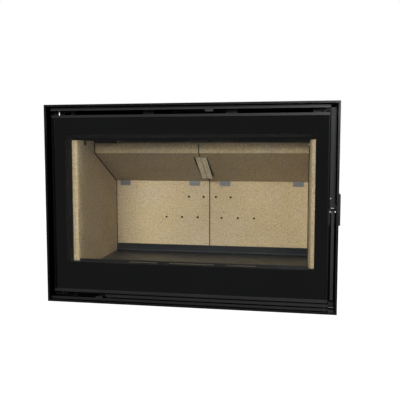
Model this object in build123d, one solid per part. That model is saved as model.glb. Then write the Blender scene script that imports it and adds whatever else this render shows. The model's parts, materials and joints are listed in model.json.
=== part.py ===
from build123d import *
import os

# Fireplace insert: a wood-burning cassette with one side-hung glass door, built into a wall opening.
# Sizes are in millimetres. X runs to the right, Y from the front lip into the body, Z up from the base.
# The pieces are drawn with Y = 0 at the front lip, and moved at the end so that the origin lies
# on the base, straight below the flue.

# ---------------------------------------------------------------- driving dimensions
# Front frame
FRAME_WIDTH = 870.0
FRAME_HEIGHT = 600.0
LIP_SHEET = 3.0
LIP_FACE = 6.0
SLEEVE_INSET = 1.0
SLEEVE_SHEET = 2.0
SLEEVE_DEPTH = 62.0
CASING_SHEET = 1.5

# Lining boards and the chamber between them
CHAMBER_INSET = 81.0
CHAMBER_BACK = 433.0
SIDE_BOARD = 30.0
BACK_BOARD = 25.0
BAFFLE_BOARD = 29.0
BAFFLE_PLAY = 5.0
EASE_WIDTH = 9.0
EASE_DEPTH = 45.0
BOARD_GROOVE = 3.0
BOARD_GROOVE_DEPTH = 8.0
BOARD_PLAY = 1.0
BOARD_BELOW_FRAME = 105.0
BACK_BOARD_EXTRA = 5.0
HEARTH_LEVEL = 89.0
TRAY_SHEET = 2.0
TRAY_LIP = 28.0
TRAY_PLAY = 0.3
TRAY_BEND = 3.0
BAFFLE_FRONT = 208.0
BAFFLE_BELOW_FRAME = 144.5
BAFFLE_DROP = 103.2
KEY_WIDTH = 45.0
KEY_FRONT = 241.5
KEY_REAR = 386.0
KEY_DEPTH = 20.0
KEY_FRONT_RECESS = 4.0
KEY_REAR_PROUD = 10.0
KEY_SPLIT = 0.3
SEAM = 2.4

# Firebox shell
FIREBOX_STEEL = 4.0
FIREBOX_BELOW_FRAME = 40.0
FRONT_PLATE_FACE = 68.0
OPENING_INSET = 58.0
OPENING_BELOW_FRAME = 87.6
OPENING_BOTTOM = 92.5
INLET_TOP = 66.0
DUCT_DEPTH = 12.0
SIDE_GAP = 32.0
BACK_GAP = 26.0
TOP_GAP = 30.5
RAIL_FOOT = 30.0
RAIL_SHEET = 3.0
RAIL_SET_BACK = 40.0
RAIL_SPREAD = 0.8
DEFLECTOR_RISE = 25.0
DEFLECTOR_WIDTH = 501.0
DEFLECTOR_DEPTH = 210.0
DEFLECTOR_LEG = 140.0
DEFLECTOR_SHEET = 2.0

# Air holes in the back boards: half spacings of the two rows
AIR_HOLE = 8.0
AIR_HOLE_PLAY = 1.0
UPPER_ROW_HEIGHT = 295.0
UPPER_ROW = (22.5, 77.0)
LOWER_ROW_HEIGHT = 219.5
LOWER_ROW = (44.0, 103.5, 162.0)

# Flue and outside air
FLUE_DEPTH = 270.0
FLUE_BORE = 181.0
FLUE_WALL = 2.5
COLLAR_ABOVE_FRAME = 12.0
COLLAR_FLANGE = 15.0
COLLAR_FLANGE_SHEET = 3.0
COLLAR_STOP = 5.0
COLLAR_GAP = 1.0
AIR_PIPE = 100.0
AIR_PIPE_WALL = 1.5
AIR_PIPE_LENGTH = 45.0
AIR_PIPE_HEIGHT = 66.0

# Door
DOOR_LEFT_GAP = 10.0
DOOR_RIGHT_GAP = 25.5
DOOR_BOTTOM = 25.6
DOOR_TOP_GAP = 30.0
DOOR_FACE = 30.0
DOOR_SHEET = 3.0
DOOR_SIDE_STRIP = 4.0
DOOR_TOP_TRIM = 7.5
DOOR_BOTTOM_TRIM = 9.5
TRIM_SHEET = 1.5
GLASS = 4.0
GLASS_PLAY = 0.5
GASKET = 2.0
GASKET_INSET = 1.0
VIEW_LEFT_STRIP = 39.0
VIEW_RIGHT_STRIP = 35.5
VIEW_BOTTOM = 118.0
VIEW_TOP_STRIP = 51.0
RAIL_WIDTH = 13.0
RAIL_BACK = 62.0
ROPE = 10.0
ROPE_GAP = 0.4
ROPE_PLAY = 0.5
RAIL_OUTSIDE = 8.0
RAIL_ABOVE = 16.0
RAIL_BELOW = 4.0

# Hinges
HINGE_INSET = 21.0
HINGE_DEPTH = 42.0
HINGE_PIN = 8.0
HINGE_FIT = 0.05
BUSH_WALL = 3.0
BRACKET_PLATE = 4.0
BRACKET_WIDTH = 44.0
BRACKET_REACH = 12.0
EAR_REACH = 10.0
PIN_END = 1.0
UPPER_BRACKET_GAP = 13.0
LOWER_BRACKET_TOP = 20.0
RUNNING_GAP = 0.3
WASHER_GAP = 0.1
WASHER_RIM = 1.0

# Top air outlet
BAR_HEIGHT = 9.0
BAR_BELOW_FRAME = 8.0
BAR_SHEET = 2.0
BAR_FACE = 20.0
BAR_LEFT_GAP = 13.0
BAR_TABS = 4
BAR_TAB_SPAN = 0.707
TAB_CENTRE = -3.0
TAB_WIDTH = 7.0
OUTLET_SLOTS = 3
OUTLET_MARGIN = 74.0
OUTLET_WEB = 34.0
OUTLET_SLOT_LOW = 4.0
OUTLET_SLOT_HIGH = 12.0
SWING_RELIEF = 1.0
SWING_RELIEF_WIDTH = 17.0
OUTLET_HOLE = 5.0
OUTLET_HOLE_RISE = 4.6
OUTLET_HOLE_INSETS = (48.0, 32.5)
OUTLET_NOTCH = 20.0
CLIP_WIDTH = 24.0
CLIP_HEIGHT = 16.0

# Bottom louvres
LOUVRE_FACE = 15.0
LOUVRE_SHEET = 2.0
LOUVRE_RETURN = 8.0
LOWER_LOUVRE_BOTTOM = 5.5
LOWER_LOUVRE_HEIGHT = 7.5
UPPER_LOUVRE_BOTTOM = 16.8
UPPER_LOUVRE_HEIGHT = 8.0
UPPER_LOUVRE_INSET = 179.0
UPPER_LOUVRE_SLANT = 4.0
LOUVRE_FOLD = 1.5
POST_SHEET = 3.0
POST_INSET = 10.0
FOOT_FACE = 5.0
FOOT_BACK = 35.0
FOOT_BELOW_CHANNEL = 2.0

# Right side channel and the handle that lies in it
CHANNEL_GAP = 1.0
CHANNEL_WIDTH = 15.5
CHANNEL_FACE = 20.0
CHANNEL_SHEET = 1.5
CHANNEL_FOOT = 14.0
LATCH_EAR_LOW = 256.0
LATCH_EAR_HIGH = 323.0
LATCH_TAB_LOW = 338.5
LATCH_TAB_HIGH = 342.5
RECESS_BOTTOM = 33.0
RECESS_TOP = 300.0
RECESS_DEPTH = 13.0
RECESS_PLATE_TOP = 248.0
PIVOT_HEIGHT = 289.0
PIVOT_DEPTH = 32.0
PIVOT_PIN = 6.0
PIVOT_FIT = 0.05
LEVER_WIDTH = 8.5
LEVER_INSET = 5.0
LEVER_SHEET = 3.5
LEVER_FOOT = 37.0
LEVER_HUB = 18.0
LEVER_ABOVE_PIVOT = 2.0
NOSE_LENGTH = 26.0
NOSE_HEIGHT = 13.0
NOSE_RISE = 5.5
ROLLER = 12.0
ROLLER_BORE_FIT = 0.05
CATCH_PIN = 6.0
CATCH_GAP = 0.5
CATCH_DEPTH = 50.0
CATCH_BOX_BOTTOM = 253.0
CATCH_BOX_TOP = 341.0
CATCH_BOX_DEPTH = 6.0
CATCH_BOX_FRONT = 8.0
CATCH_BOX_BACK = 58.0
CATCH_SCREW = 5.0
CATCH_SCREW_HEIGHTS = (289.0, 320.0)
CHANNEL_SCREW = 4.0
CHANNEL_SCREW_HEIGHT = 328.5
CHANNEL_SCREW_HEAD = 1.0
FLAT_HEAD = 1.5
PIVOT_PLATE = 2.5
PIVOT_PLATE_DEPTH = 24.0
PIVOT_PLATE_ABOVE = 8.0
PIVOT_PLATE_BELOW = 37.0
PIVOT_SCREW_DROPS = (31.0, 16.0)
PIN_COLLAR = 4.0
PIN_HEAD = 2.0
CATCH_PIN_FLANGE = 6.0

# Air slide
MANIFOLD_FACE = 74.0
MANIFOLD_DEPTH = 16.0
MANIFOLD_BOTTOM = 8.0
MANIFOLD_TOP = 40.0
DUCT_SHEET = 1.5
PORT_FRONT = 7.0
PORT_BACK = 19.0
PORT_BELOW = 6.0
PORT_ABOVE = 12.0
RISER_PORT_INSET = 3.0
NECK_WIDTH = 116.0
NECK_WALL = 3.0
NECK_PLAY = 1.0
RISE_GAP = 2.0
REAR_DUCT_MARGIN = 20.0
WASH_SHEET = 2.0
WASH_DEPTH = 24.0
WASH_DROP = 7.4
WASH_SLOT = 7.0
WASH_PLAY = 0.3
AIR_BOX_TOP = 128.0
SHUTTER_SHEET = 2.0
SHUTTER_HEIGHT = 18.0
SHUTTER_WINDOW = 60.0
SHUTTER_WINDOW_BOTTOM = 5.0
SHUTTER_WINDOW_TOP = 3.0
SHUTTER_END = 8.0
SLIDE_SHEET = 2.0
SLIDE_SLOT_ABOVE = 4.0
SLIDE_RAIL_DEPTH = 5.3
SLIDE_HEIGHT = 13.6
SLIDE_ARM_INSET = 160.0
SLIDE_ARM_WIDTH = 12.0
SLIDE_CLEARANCE = 4.0
SLIDE_OUT = 80.0
SLIDE_IN = 4.0
KNOB_WIDTH = 26.0
KNOB_HEIGHT = 9.5
KNOB_SHEET = 2.0
KNOB_RISE = 5.0
KNOB_TOP_SLANT = 4.0
KNOB_FOOT_SLANT = 3.0
RISER_WIDTH = 20.0
RISER_DEPTH = 30.0

# Small parts
GUARD_FACE = 64.5
GUARD_HEIGHT = 124.5
GUARD_WING_HEIGHT = 117.5
GUARD_WING_PLAY = 1.0
GUARD_SHEET = 2.0
GUARD_SHELF = 12.0
GUARD_SLOT_WIDTH = 90.0
GUARD_CENTRE_SLOT = 140.0
GUARD_SLOT_PITCH = 151.0
GUARD_SLOT_SHIFT = 4.0
GUARD_SLOT_BOTTOM = 117.0
GUARD_SLOT_TOP = 120.0
HOOK_DEPTH = 122.0
HOOK_WIDTH = 18.0
HOOK_DROP = 15.0
HOOK_SHEET = 2.0
HOOK_RIVET = 5.0
HOOK_RIVET_DROP = 8.0
LEDGE_WIDTH = 37.5
LEDGE_HEIGHT = 14.0
LEDGE_OUT = 4.5
LEDGE_INNER = 56.5
LEDGE_OUTER_INSET = 36.0
LEDGE_NOSE = 4.0
LEDGE_SKIRT = 3.0
LEDGE_TOE = 2.0
SCREW_HEAD = 9.0
SCREW_HEAD_HEIGHT = 2.5
SCREW_INSET = 16.0
BOARD_FRONT_PLAY = 0.5
BASE_HOLE = 9.0
BASE_HOLE_INSET = 85.0
BASE_HOLE_SETBACK = 120.0

# ---------------------------------------------------------------- derived places
CHAMBER_X = FRAME_WIDTH / 2 - CHAMBER_INSET
OPENING_X = FRAME_WIDTH / 2 - OPENING_INSET
OPENING_TOP = FRAME_HEIGHT - OPENING_BELOW_FRAME
FIREBOX_TOP = FRAME_HEIGHT - FIREBOX_BELOW_FRAME
BOARD_TOP = FRAME_HEIGHT - BOARD_BELOW_FRAME
BAFFLE_FRONT_HEIGHT = FRAME_HEIGHT - BAFFLE_BELOW_FRAME
COLLAR_TOP = FRAME_HEIGHT + COLLAR_ABOVE_FRAME
DOOR_LEFT = -FRAME_WIDTH / 2 + DOOR_LEFT_GAP
DOOR_RIGHT = FRAME_WIDTH / 2 - DOOR_RIGHT_GAP
DOOR_TOP = FRAME_HEIGHT - DOOR_TOP_GAP
VIEW_LEFT = DOOR_LEFT + VIEW_LEFT_STRIP
VIEW_RIGHT = DOOR_RIGHT - VIEW_RIGHT_STRIP
VIEW_TOP = DOOR_TOP - VIEW_TOP_STRIP
HINGE_X = DOOR_LEFT + HINGE_INSET
UPPER_BRACKET_HEIGHT = DOOR_TOP + UPPER_BRACKET_GAP
BAR_TOP = FRAME_HEIGHT - BAR_BELOW_FRAME
BAR_LEFT = -FRAME_WIDTH / 2 + BAR_LEFT_GAP
BAR_RIGHT = DOOR_RIGHT
TAB_PITCH = FRAME_WIDTH * BAR_TAB_SPAN / (BAR_TABS - 1)
OUTLET_SLOT = (FRAME_WIDTH - 2 * OUTLET_MARGIN - (OUTLET_SLOTS - 1) * OUTLET_WEB) / OUTLET_SLOTS
OUTLET_PLATE_BOTTOM = FIREBOX_TOP + SLEEVE_SHEET
OUTLET_SLOT_BOTTOM = DOOR_TOP - OUTLET_SLOT_LOW
OUTLET_SLOT_TOP = FRAME_HEIGHT - OUTLET_SLOT_HIGH
UPPER_LOUVRE_LEFT = -FRAME_WIDTH / 2 + UPPER_LOUVRE_INSET
CHANNEL_LEFT = DOOR_RIGHT + CHANNEL_GAP
CHANNEL_RIGHT = CHANNEL_LEFT + CHANNEL_WIDTH
LEVER_LEFT = CHANNEL_LEFT + LEVER_INSET
SLIDE_ARM_X = -FRAME_WIDTH / 2 + SLIDE_ARM_INSET
SLEEVE_OUT_X = FRAME_WIDTH / 2 - SLEEVE_INSET
SLEEVE_IN_X = SLEEVE_OUT_X - SLEEVE_SHEET
SLEEVE_LOW = SLEEVE_INSET + SLEEVE_SHEET
SLEEVE_HIGH = FRAME_HEIGHT - SLEEVE_LOW
RING_BACK = SLEEVE_DEPTH + CASING_SHEET
BOX_IN_X = CHAMBER_X + SIDE_BOARD + BOARD_PLAY
BOX_OUT_X = BOX_IN_X + FIREBOX_STEEL
CASING_IN_X = BOX_OUT_X + SIDE_GAP
CASING_OUT_X = CASING_IN_X + CASING_SHEET
BOX_FRONT = FRONT_PLATE_FACE + FIREBOX_STEEL
BOX_IN_BACK = CHAMBER_BACK + BACK_BOARD + BOARD_PLAY + DUCT_DEPTH
BOX_BACK = BOX_IN_BACK + FIREBOX_STEEL
CASING_IN_BACK = BOX_BACK + BACK_GAP
CASING_BACK = CASING_IN_BACK + CASING_SHEET
CASING_IN_TOP = FIREBOX_TOP + TOP_GAP
CASING_TOP = CASING_IN_TOP + CASING_SHEET
BOX_IN_TOP = FIREBOX_TOP - FIREBOX_STEEL
FLOOR_TOP = HEARTH_LEVEL - TRAY_SHEET
FLOOR_BOTTOM = FLOOR_TOP - FIREBOX_STEEL
INLET_X = -SLIDE_ARM_X + SLIDE_ARM_WIDTH / 2 + SLIDE_OUT + SLIDE_CLEARANCE
SHUTTER_PITCH = 2 * SLIDE_OUT
AIR_BOX_X = SHUTTER_PITCH + SHUTTER_WINDOW / 2 + SHUTTER_END + SLIDE_SHEET
CATCH_HEIGHT = PIVOT_HEIGHT + NOSE_RISE + CATCH_GAP + ROLLER / 2
BAFFLE_SLOPE = BAFFLE_DROP / (CHAMBER_BACK - BAFFLE_FRONT)


def under_baffle(depth):
    """Height of the baffle's sloping underside at a depth."""
    return BAFFLE_FRONT_HEIGHT - BAFFLE_SLOPE * (depth - BAFFLE_FRONT)


# ---------------------------------------------------------------- building helpers
nodes = {}


def block(x0, x1, y0, y1, z0, z1):
    """Rectangular solid between two corners."""
    centre = Pos((x0 + x1) / 2, (y0 + y1) / 2, (z0 + z1) / 2)
    return centre * Box(x1 - x0, y1 - y0, z1 - z0)


def rod_x(diameter, y, z, x0, x1):
    """Round solid along X."""
    return Pos((x0 + x1) / 2, y, z) * Rot(0, 90, 0) * Cylinder(diameter / 2, x1 - x0)


def rod_y(diameter, x, z, y0, y1):
    """Round solid along Y."""
    return Pos(x, (y0 + y1) / 2, z) * Rot(90, 0, 0) * Cylinder(diameter / 2, y1 - y0)


def rod_z(diameter, x, y, z0, z1):
    """Round solid along Z."""
    return Pos(x, y, (z0 + z1) / 2) * Cylinder(diameter / 2, z1 - z0)


def prism_x(outline, x0, x1):
    """Straight-edged outline of (depth, height) points, drawn out along X."""
    face = make_face(Polyline([(x0, y, z) for y, z in outline], close=True))
    return extrude(face, amount=x1 - x0, dir=(1, 0, 0))


def plate_xz(outline, y0, y1):
    """Straight-edged outline of (x, height) points, drawn out along Y."""
    face = make_face(Polyline([(x, y0, z) for x, z in outline], close=True))
    return extrude(face, amount=y1 - y0, dir=(0, 1, 0))


def ring_xz(outer, inner, y0, y1):
    """Upright rectangular ring from outer and inner (left, right, bottom, top) limits."""
    left, right, bottom, top = outer
    hole_left, hole_right, hole_bottom, hole_top = inner
    hole = block(hole_left, hole_right, y0 - 1, y1 + 1, hole_bottom, hole_top)
    return block(left, right, y0, y1, bottom, top) - hole


def grown(limits, amount):
    """Rectangle limits moved outwards by an amount."""
    left, right, bottom, top = limits
    return left - amount, right + amount, bottom - amount, top + amount


def mirrored(shape):
    """The same shape on the other side of the middle plane."""
    return mirror(shape, about=Plane.YZ)


def group(shapes):
    """Several solids that share one node."""
    return Compound(children=[solid for shape in shapes for solid in shape.solids()])


# ---------------------------------------------------------------- front frame and louvres
def build_front():
    outer = (-FRAME_WIDTH / 2, FRAME_WIDTH / 2, 0, FRAME_HEIGHT)
    sleeve = grown(outer, -SLEEVE_INSET)
    sleeve_inside = grown(sleeve, -SLEEVE_SHEET)
    casing_mouth = (-CASING_IN_X, CASING_IN_X, SLEEVE_LOW, CASING_IN_TOP)
    lip = ring_xz(outer, grown(outer, -LIP_FACE), 0, LIP_SHEET)
    walls = ring_xz(sleeve, sleeve_inside, LIP_SHEET, SLEEVE_DEPTH)
    rear_ring = ring_xz(sleeve, casing_mouth, SLEEVE_DEPTH, RING_BACK)
    catch_hole = rod_x(CATCH_PIN + 2 * CATCH_GAP, CATCH_DEPTH, CATCH_HEIGHT, SLEEVE_IN_X - 1,
                       SLEEVE_OUT_X + 1)
    nodes["front_frame"] = lip + walls + rear_ring - catch_hole

    bar_back = BAR_FACE + BAR_SHEET
    bar = block(BAR_LEFT, BAR_RIGHT, BAR_FACE, bar_back, BAR_TOP - BAR_HEIGHT, BAR_TOP)
    for number in range(BAR_TABS):
        x = TAB_CENTRE + (number - (BAR_TABS - 1) / 2) * TAB_PITCH
        bar += block(x - TAB_WIDTH / 2, x + TAB_WIDTH / 2, BAR_FACE, bar_back, BAR_TOP, SLEEVE_HIGH)
    clip_x = TAB_CENTRE + TAB_PITCH / 3
    bar += block(clip_x - CLIP_WIDTH / 2, clip_x + CLIP_WIDTH / 2, bar_back, bar_back + BAR_SHEET,
                 BAR_TOP - CLIP_HEIGHT, BAR_TOP)
    nodes["outlet_bar"] = bar

    plate_front = SLEEVE_DEPTH - CASING_SHEET
    plate = block(-SLEEVE_IN_X, SLEEVE_IN_X, plate_front, SLEEVE_DEPTH, OUTLET_PLATE_BOTTOM, SLEEVE_HIGH)
    plate -= block(-SLEEVE_IN_X, HINGE_X + SWING_RELIEF_WIDTH, plate_front - 1, RING_BACK,
                   OUTLET_PLATE_BOTTOM, DOOR_TOP + SWING_RELIEF)
    for number in range(OUTLET_SLOTS):
        x = (number - (OUTLET_SLOTS - 1) / 2) * (OUTLET_SLOT + OUTLET_WEB)
        slot_left = x - OUTLET_SLOT / 2
        slot_right = x + OUTLET_SLOT / 2
        plate -= block(slot_left, slot_right, plate_front - 1, RING_BACK, OUTLET_SLOT_BOTTOM,
                       OUTLET_SLOT_TOP)
    for inset in OUTLET_HOLE_INSETS:
        x = FRAME_WIDTH / 2 - inset
        plate -= rod_y(OUTLET_HOLE, x, DOOR_TOP + OUTLET_HOLE_RISE, plate_front - 1, RING_BACK)
    notch_left = HINGE_X + BRACKET_WIDTH / 4
    plate -= block(notch_left, notch_left + OUTLET_NOTCH, plate_front - 1, RING_BACK,
                   DOOR_TOP, UPPER_BRACKET_HEIGHT - BUSH_WALL)
    nodes["outlet_plate"] = plate

    louvre_back = LOUVRE_FACE + LOUVRE_SHEET
    top = LOWER_LOUVRE_BOTTOM + LOWER_LOUVRE_HEIGHT
    lower = block(-SLEEVE_IN_X, CHANNEL_LEFT, LOUVRE_FACE, louvre_back, LOWER_LOUVRE_BOTTOM, top)
    lower += block(-SLEEVE_IN_X, CHANNEL_LEFT, louvre_back, louvre_back + LOUVRE_RETURN,
                   top - LOUVRE_FOLD, top)
    nodes["lower_louvre"] = lower

    top = UPPER_LOUVRE_BOTTOM + UPPER_LOUVRE_HEIGHT
    end = UPPER_LOUVRE_LEFT + UPPER_LOUVRE_SLANT
    face = [(UPPER_LOUVRE_LEFT, top), (CHANNEL_LEFT, top), (CHANNEL_LEFT, UPPER_LOUVRE_BOTTOM),
            (end, UPPER_LOUVRE_BOTTOM)]
    upper = plate_xz(face, LOUVRE_FACE, louvre_back)
    upper += block(end, CHANNEL_LEFT, louvre_back, louvre_back + LOUVRE_RETURN, top - LOUVRE_FOLD, top)
    nodes["upper_louvre"] = upper

    lower_top = LOWER_LOUVRE_BOTTOM + LOWER_LOUVRE_HEIGHT
    post_back = louvre_back + LOUVRE_RETURN
    posts = []
    for x in (end + POST_INSET, (end + CHANNEL_LEFT) / 2, CHANNEL_LEFT - POST_INSET):
        for low, high in ((SLEEVE_LOW, lower_top - LOUVRE_FOLD), (lower_top, top - LOUVRE_FOLD)):
            posts.append(block(x - POST_SHEET / 2, x + POST_SHEET / 2, louvre_back, post_back, low, high))
    posts.append(block(CHANNEL_LEFT, CHANNEL_RIGHT, FOOT_FACE, FOOT_BACK,
                       SLEEVE_LOW, CHANNEL_FOOT - FOOT_BELOW_CHANNEL))
    nodes["louvre_posts"] = group(posts)


def build_side_channel():
    face_back = CHANNEL_FACE + CHANNEL_SHEET
    recess_face = CHANNEL_FACE + RECESS_DEPTH
    recess_back = recess_face + CHANNEL_SHEET
    flange_left = CHANNEL_RIGHT - CHANNEL_SHEET
    upper = block(CHANNEL_LEFT, CHANNEL_RIGHT, CHANNEL_FACE, face_back, RECESS_TOP, BAR_TOP - BAR_HEIGHT)
    lower = block(CHANNEL_LEFT, CHANNEL_RIGHT, CHANNEL_FACE, face_back, CHANNEL_FOOT, RECESS_BOTTOM)
    recess = block(CHANNEL_LEFT, CHANNEL_RIGHT, recess_face, recess_back,
                   RECESS_BOTTOM - CHANNEL_SHEET, RECESS_PLATE_TOP)
    lower_shelf = block(CHANNEL_LEFT, CHANNEL_RIGHT, CHANNEL_FACE, recess_back,
                        RECESS_BOTTOM - CHANNEL_SHEET, RECESS_BOTTOM)
    upper_shelf = block(CHANNEL_LEFT, CHANNEL_RIGHT, CHANNEL_FACE, recess_face,
                        RECESS_TOP, RECESS_TOP + CHANNEL_SHEET)
    flange = block(flange_left, CHANNEL_RIGHT, CHANNEL_FACE, SLEEVE_DEPTH - CASING_SHEET,
                   CHANNEL_FOOT, SLEEVE_HIGH)
    recess_mouth = block(flange_left - 1, CHANNEL_RIGHT + 1, CHANNEL_FACE - 1, recess_face,
                         RECESS_BOTTOM, RECESS_TOP)
    latch_window = block(flange_left - 1, CHANNEL_RIGHT + 1, CHANNEL_FACE - 1,
                         CATCH_DEPTH - CATCH_PIN, PIVOT_HEIGHT - LEVER_HUB, RECESS_TOP)
    pin_hole = rod_x(CATCH_PIN + 2 * CATCH_GAP, CATCH_DEPTH, CATCH_HEIGHT, flange_left - 1,
                     CHANNEL_RIGHT + 1)
    ears_back = SLEEVE_DEPTH - CASING_SHEET
    ears = block(CHANNEL_RIGHT, SLEEVE_IN_X, ears_back - CHANNEL_SHEET, ears_back, LATCH_EAR_LOW,
                 LATCH_EAR_HIGH)
    ears += block(CHANNEL_RIGHT, SLEEVE_IN_X, ears_back - CHANNEL_SHEET, ears_back, LATCH_TAB_LOW,
                  LATCH_TAB_HIGH)
    nodes["side_channel"] = (upper + lower + recess + lower_shelf + upper_shelf + flange
                             - recess_mouth - latch_window - pin_hole + ears)


# ---------------------------------------------------------------- outer casing
def build_casing():
    nodes["casing_left"] = block(-CASING_OUT_X, -CASING_IN_X, RING_BACK, CASING_IN_BACK,
                                 CASING_SHEET, CASING_IN_TOP)
    nodes["casing_right"] = mirrored(nodes["casing_left"])
    hole = rod_z(FLUE_BORE + 2 * (FLUE_WALL + COLLAR_GAP), 0, FLUE_DEPTH, CASING_IN_TOP - 1, CASING_TOP + 1)
    top = block(-CASING_OUT_X, CASING_OUT_X, RING_BACK, CASING_BACK, CASING_IN_TOP, CASING_TOP)
    nodes["casing_top"] = top - hole
    back = block(-CASING_OUT_X, CASING_OUT_X, CASING_IN_BACK, CASING_BACK, CASING_SHEET, CASING_IN_TOP)
    nodes["casing_back"] = back - rod_y(AIR_PIPE - 2 * AIR_PIPE_WALL, 0, AIR_PIPE_HEIGHT,
                                        CASING_IN_BACK - 1, CASING_BACK + 1)
    base = block(-CASING_OUT_X, CASING_OUT_X, RING_BACK, CASING_BACK, 0, CASING_SHEET)
    hole_x = FRAME_WIDTH / 2 - BASE_HOLE_INSET
    for x in (-hole_x, hole_x):
        for y in (BASE_HOLE_SETBACK, 2 * FLUE_DEPTH - BASE_HOLE_SETBACK):
            base -= rod_z(BASE_HOLE, x, y, -1, CASING_SHEET + 1)
    nodes["casing_base"] = base

    screw_x = CASING_OUT_X - SCREW_INSET
    screws = []
    for z in (FRAME_HEIGHT * 0.1, FRAME_HEIGHT * 0.5, FRAME_HEIGHT * 0.9):
        for y in (RING_BACK + SCREW_INSET, (RING_BACK + CASING_BACK) / 2, CASING_BACK - SCREW_INSET):
            head = rod_x(SCREW_HEAD, y, z, CASING_OUT_X, CASING_OUT_X + SCREW_HEAD_HEIGHT)
            screws += [head, mirrored(head)]
        for x in (-screw_x, screw_x):
            screws.append(rod_y(SCREW_HEAD, x, z, CASING_BACK, CASING_BACK + SCREW_HEAD_HEIGHT))
    for x in (-screw_x, -screw_x / 2, screw_x / 2, screw_x):
        for y in (RING_BACK + SCREW_INSET, CASING_BACK - SCREW_INSET):
            screws.append(rod_z(SCREW_HEAD, x, y, CASING_TOP, CASING_TOP + SCREW_HEAD_HEIGHT))
    nodes["casing_screws"] = group(screws)


# ---------------------------------------------------------------- firebox shell
def build_firebox():
    outer = (-CASING_IN_X, CASING_IN_X, CASING_SHEET, FIREBOX_TOP)
    opening = (-OPENING_X, OPENING_X, OPENING_BOTTOM, OPENING_TOP)
    front = ring_xz(outer, opening, FRONT_PLATE_FACE, BOX_FRONT)
    front -= block(-INLET_X, INLET_X, FRONT_PLATE_FACE - 1, BOX_FRONT + 1,
                   CASING_SHEET - 1, INLET_TOP)
    nodes["firebox_front"] = front

    side = block(-BOX_OUT_X, -BOX_IN_X, BOX_FRONT, BOX_BACK, FLOOR_BOTTOM, BOX_IN_TOP)
    side -= block(-BOX_OUT_X - 1, -BOX_IN_X + 1, BOX_FRONT + PORT_FRONT, BOX_FRONT + PORT_BACK,
                  OPENING_TOP + PORT_BELOW, BOX_IN_TOP - PORT_ABOVE)
    nodes["firebox_left"] = side
    nodes["firebox_right"] = mirrored(side)
    nodes["firebox_back"] = block(-BOX_IN_X, BOX_IN_X, BOX_IN_BACK, BOX_BACK, FLOOR_BOTTOM, BOX_IN_TOP)

    top = block(-BOX_OUT_X, BOX_OUT_X, BOX_FRONT, BOX_BACK, BOX_IN_TOP, FIREBOX_TOP)
    top -= rod_z(FLUE_BORE + 2 * FLUE_WALL, 0, FLUE_DEPTH, BOX_IN_TOP - 1, FIREBOX_TOP + 1)
    nodes["firebox_top"] = top

    floor = block(-BOX_IN_X, BOX_IN_X, BOX_FRONT, BOX_IN_BACK, FLOOR_BOTTOM, FLOOR_TOP)
    neck_in = NECK_WIDTH / 2 - NECK_WALL
    floor -= block(-neck_in, neck_in, BOX_IN_BACK - DUCT_DEPTH + NECK_PLAY, BOX_IN_BACK - NECK_PLAY,
                   FLOOR_BOTTOM - 1, FLOOR_TOP + 1)
    nodes["firebox_floor"] = floor

    rails = []
    rail_front = BOX_FRONT + RAIL_SET_BACK
    for x in (-CHAMBER_X * RAIL_SPREAD, CHAMBER_X * RAIL_SPREAD):
        web = block(x - RAIL_SHEET / 2, x + RAIL_SHEET / 2, rail_front, BOX_BACK, CASING_SHEET,
                    FLOOR_BOTTOM)
        foot = block(x - RAIL_FOOT / 2, x + RAIL_FOOT / 2, rail_front, BOX_BACK,
                     CASING_SHEET, CASING_SHEET + RAIL_SHEET)
        rails.append(web + foot)
    nodes["firebox_rails"] = group(rails)

    collar_out = FLUE_BORE + 2 * FLUE_WALL
    collar = rod_z(collar_out, 0, FLUE_DEPTH, BOX_IN_TOP, COLLAR_TOP)
    collar += rod_z(collar_out + 2 * COLLAR_FLANGE, 0, FLUE_DEPTH, FIREBOX_TOP,
                    FIREBOX_TOP + COLLAR_FLANGE_SHEET)
    collar -= rod_z(FLUE_BORE, 0, FLUE_DEPTH, BOX_IN_TOP + COLLAR_FLANGE_SHEET, COLLAR_TOP + 1)
    collar -= rod_z(FLUE_BORE - 2 * COLLAR_STOP, 0, FLUE_DEPTH, BOX_IN_TOP - 1, COLLAR_TOP + 1)
    nodes["flue_collar"] = collar


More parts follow.
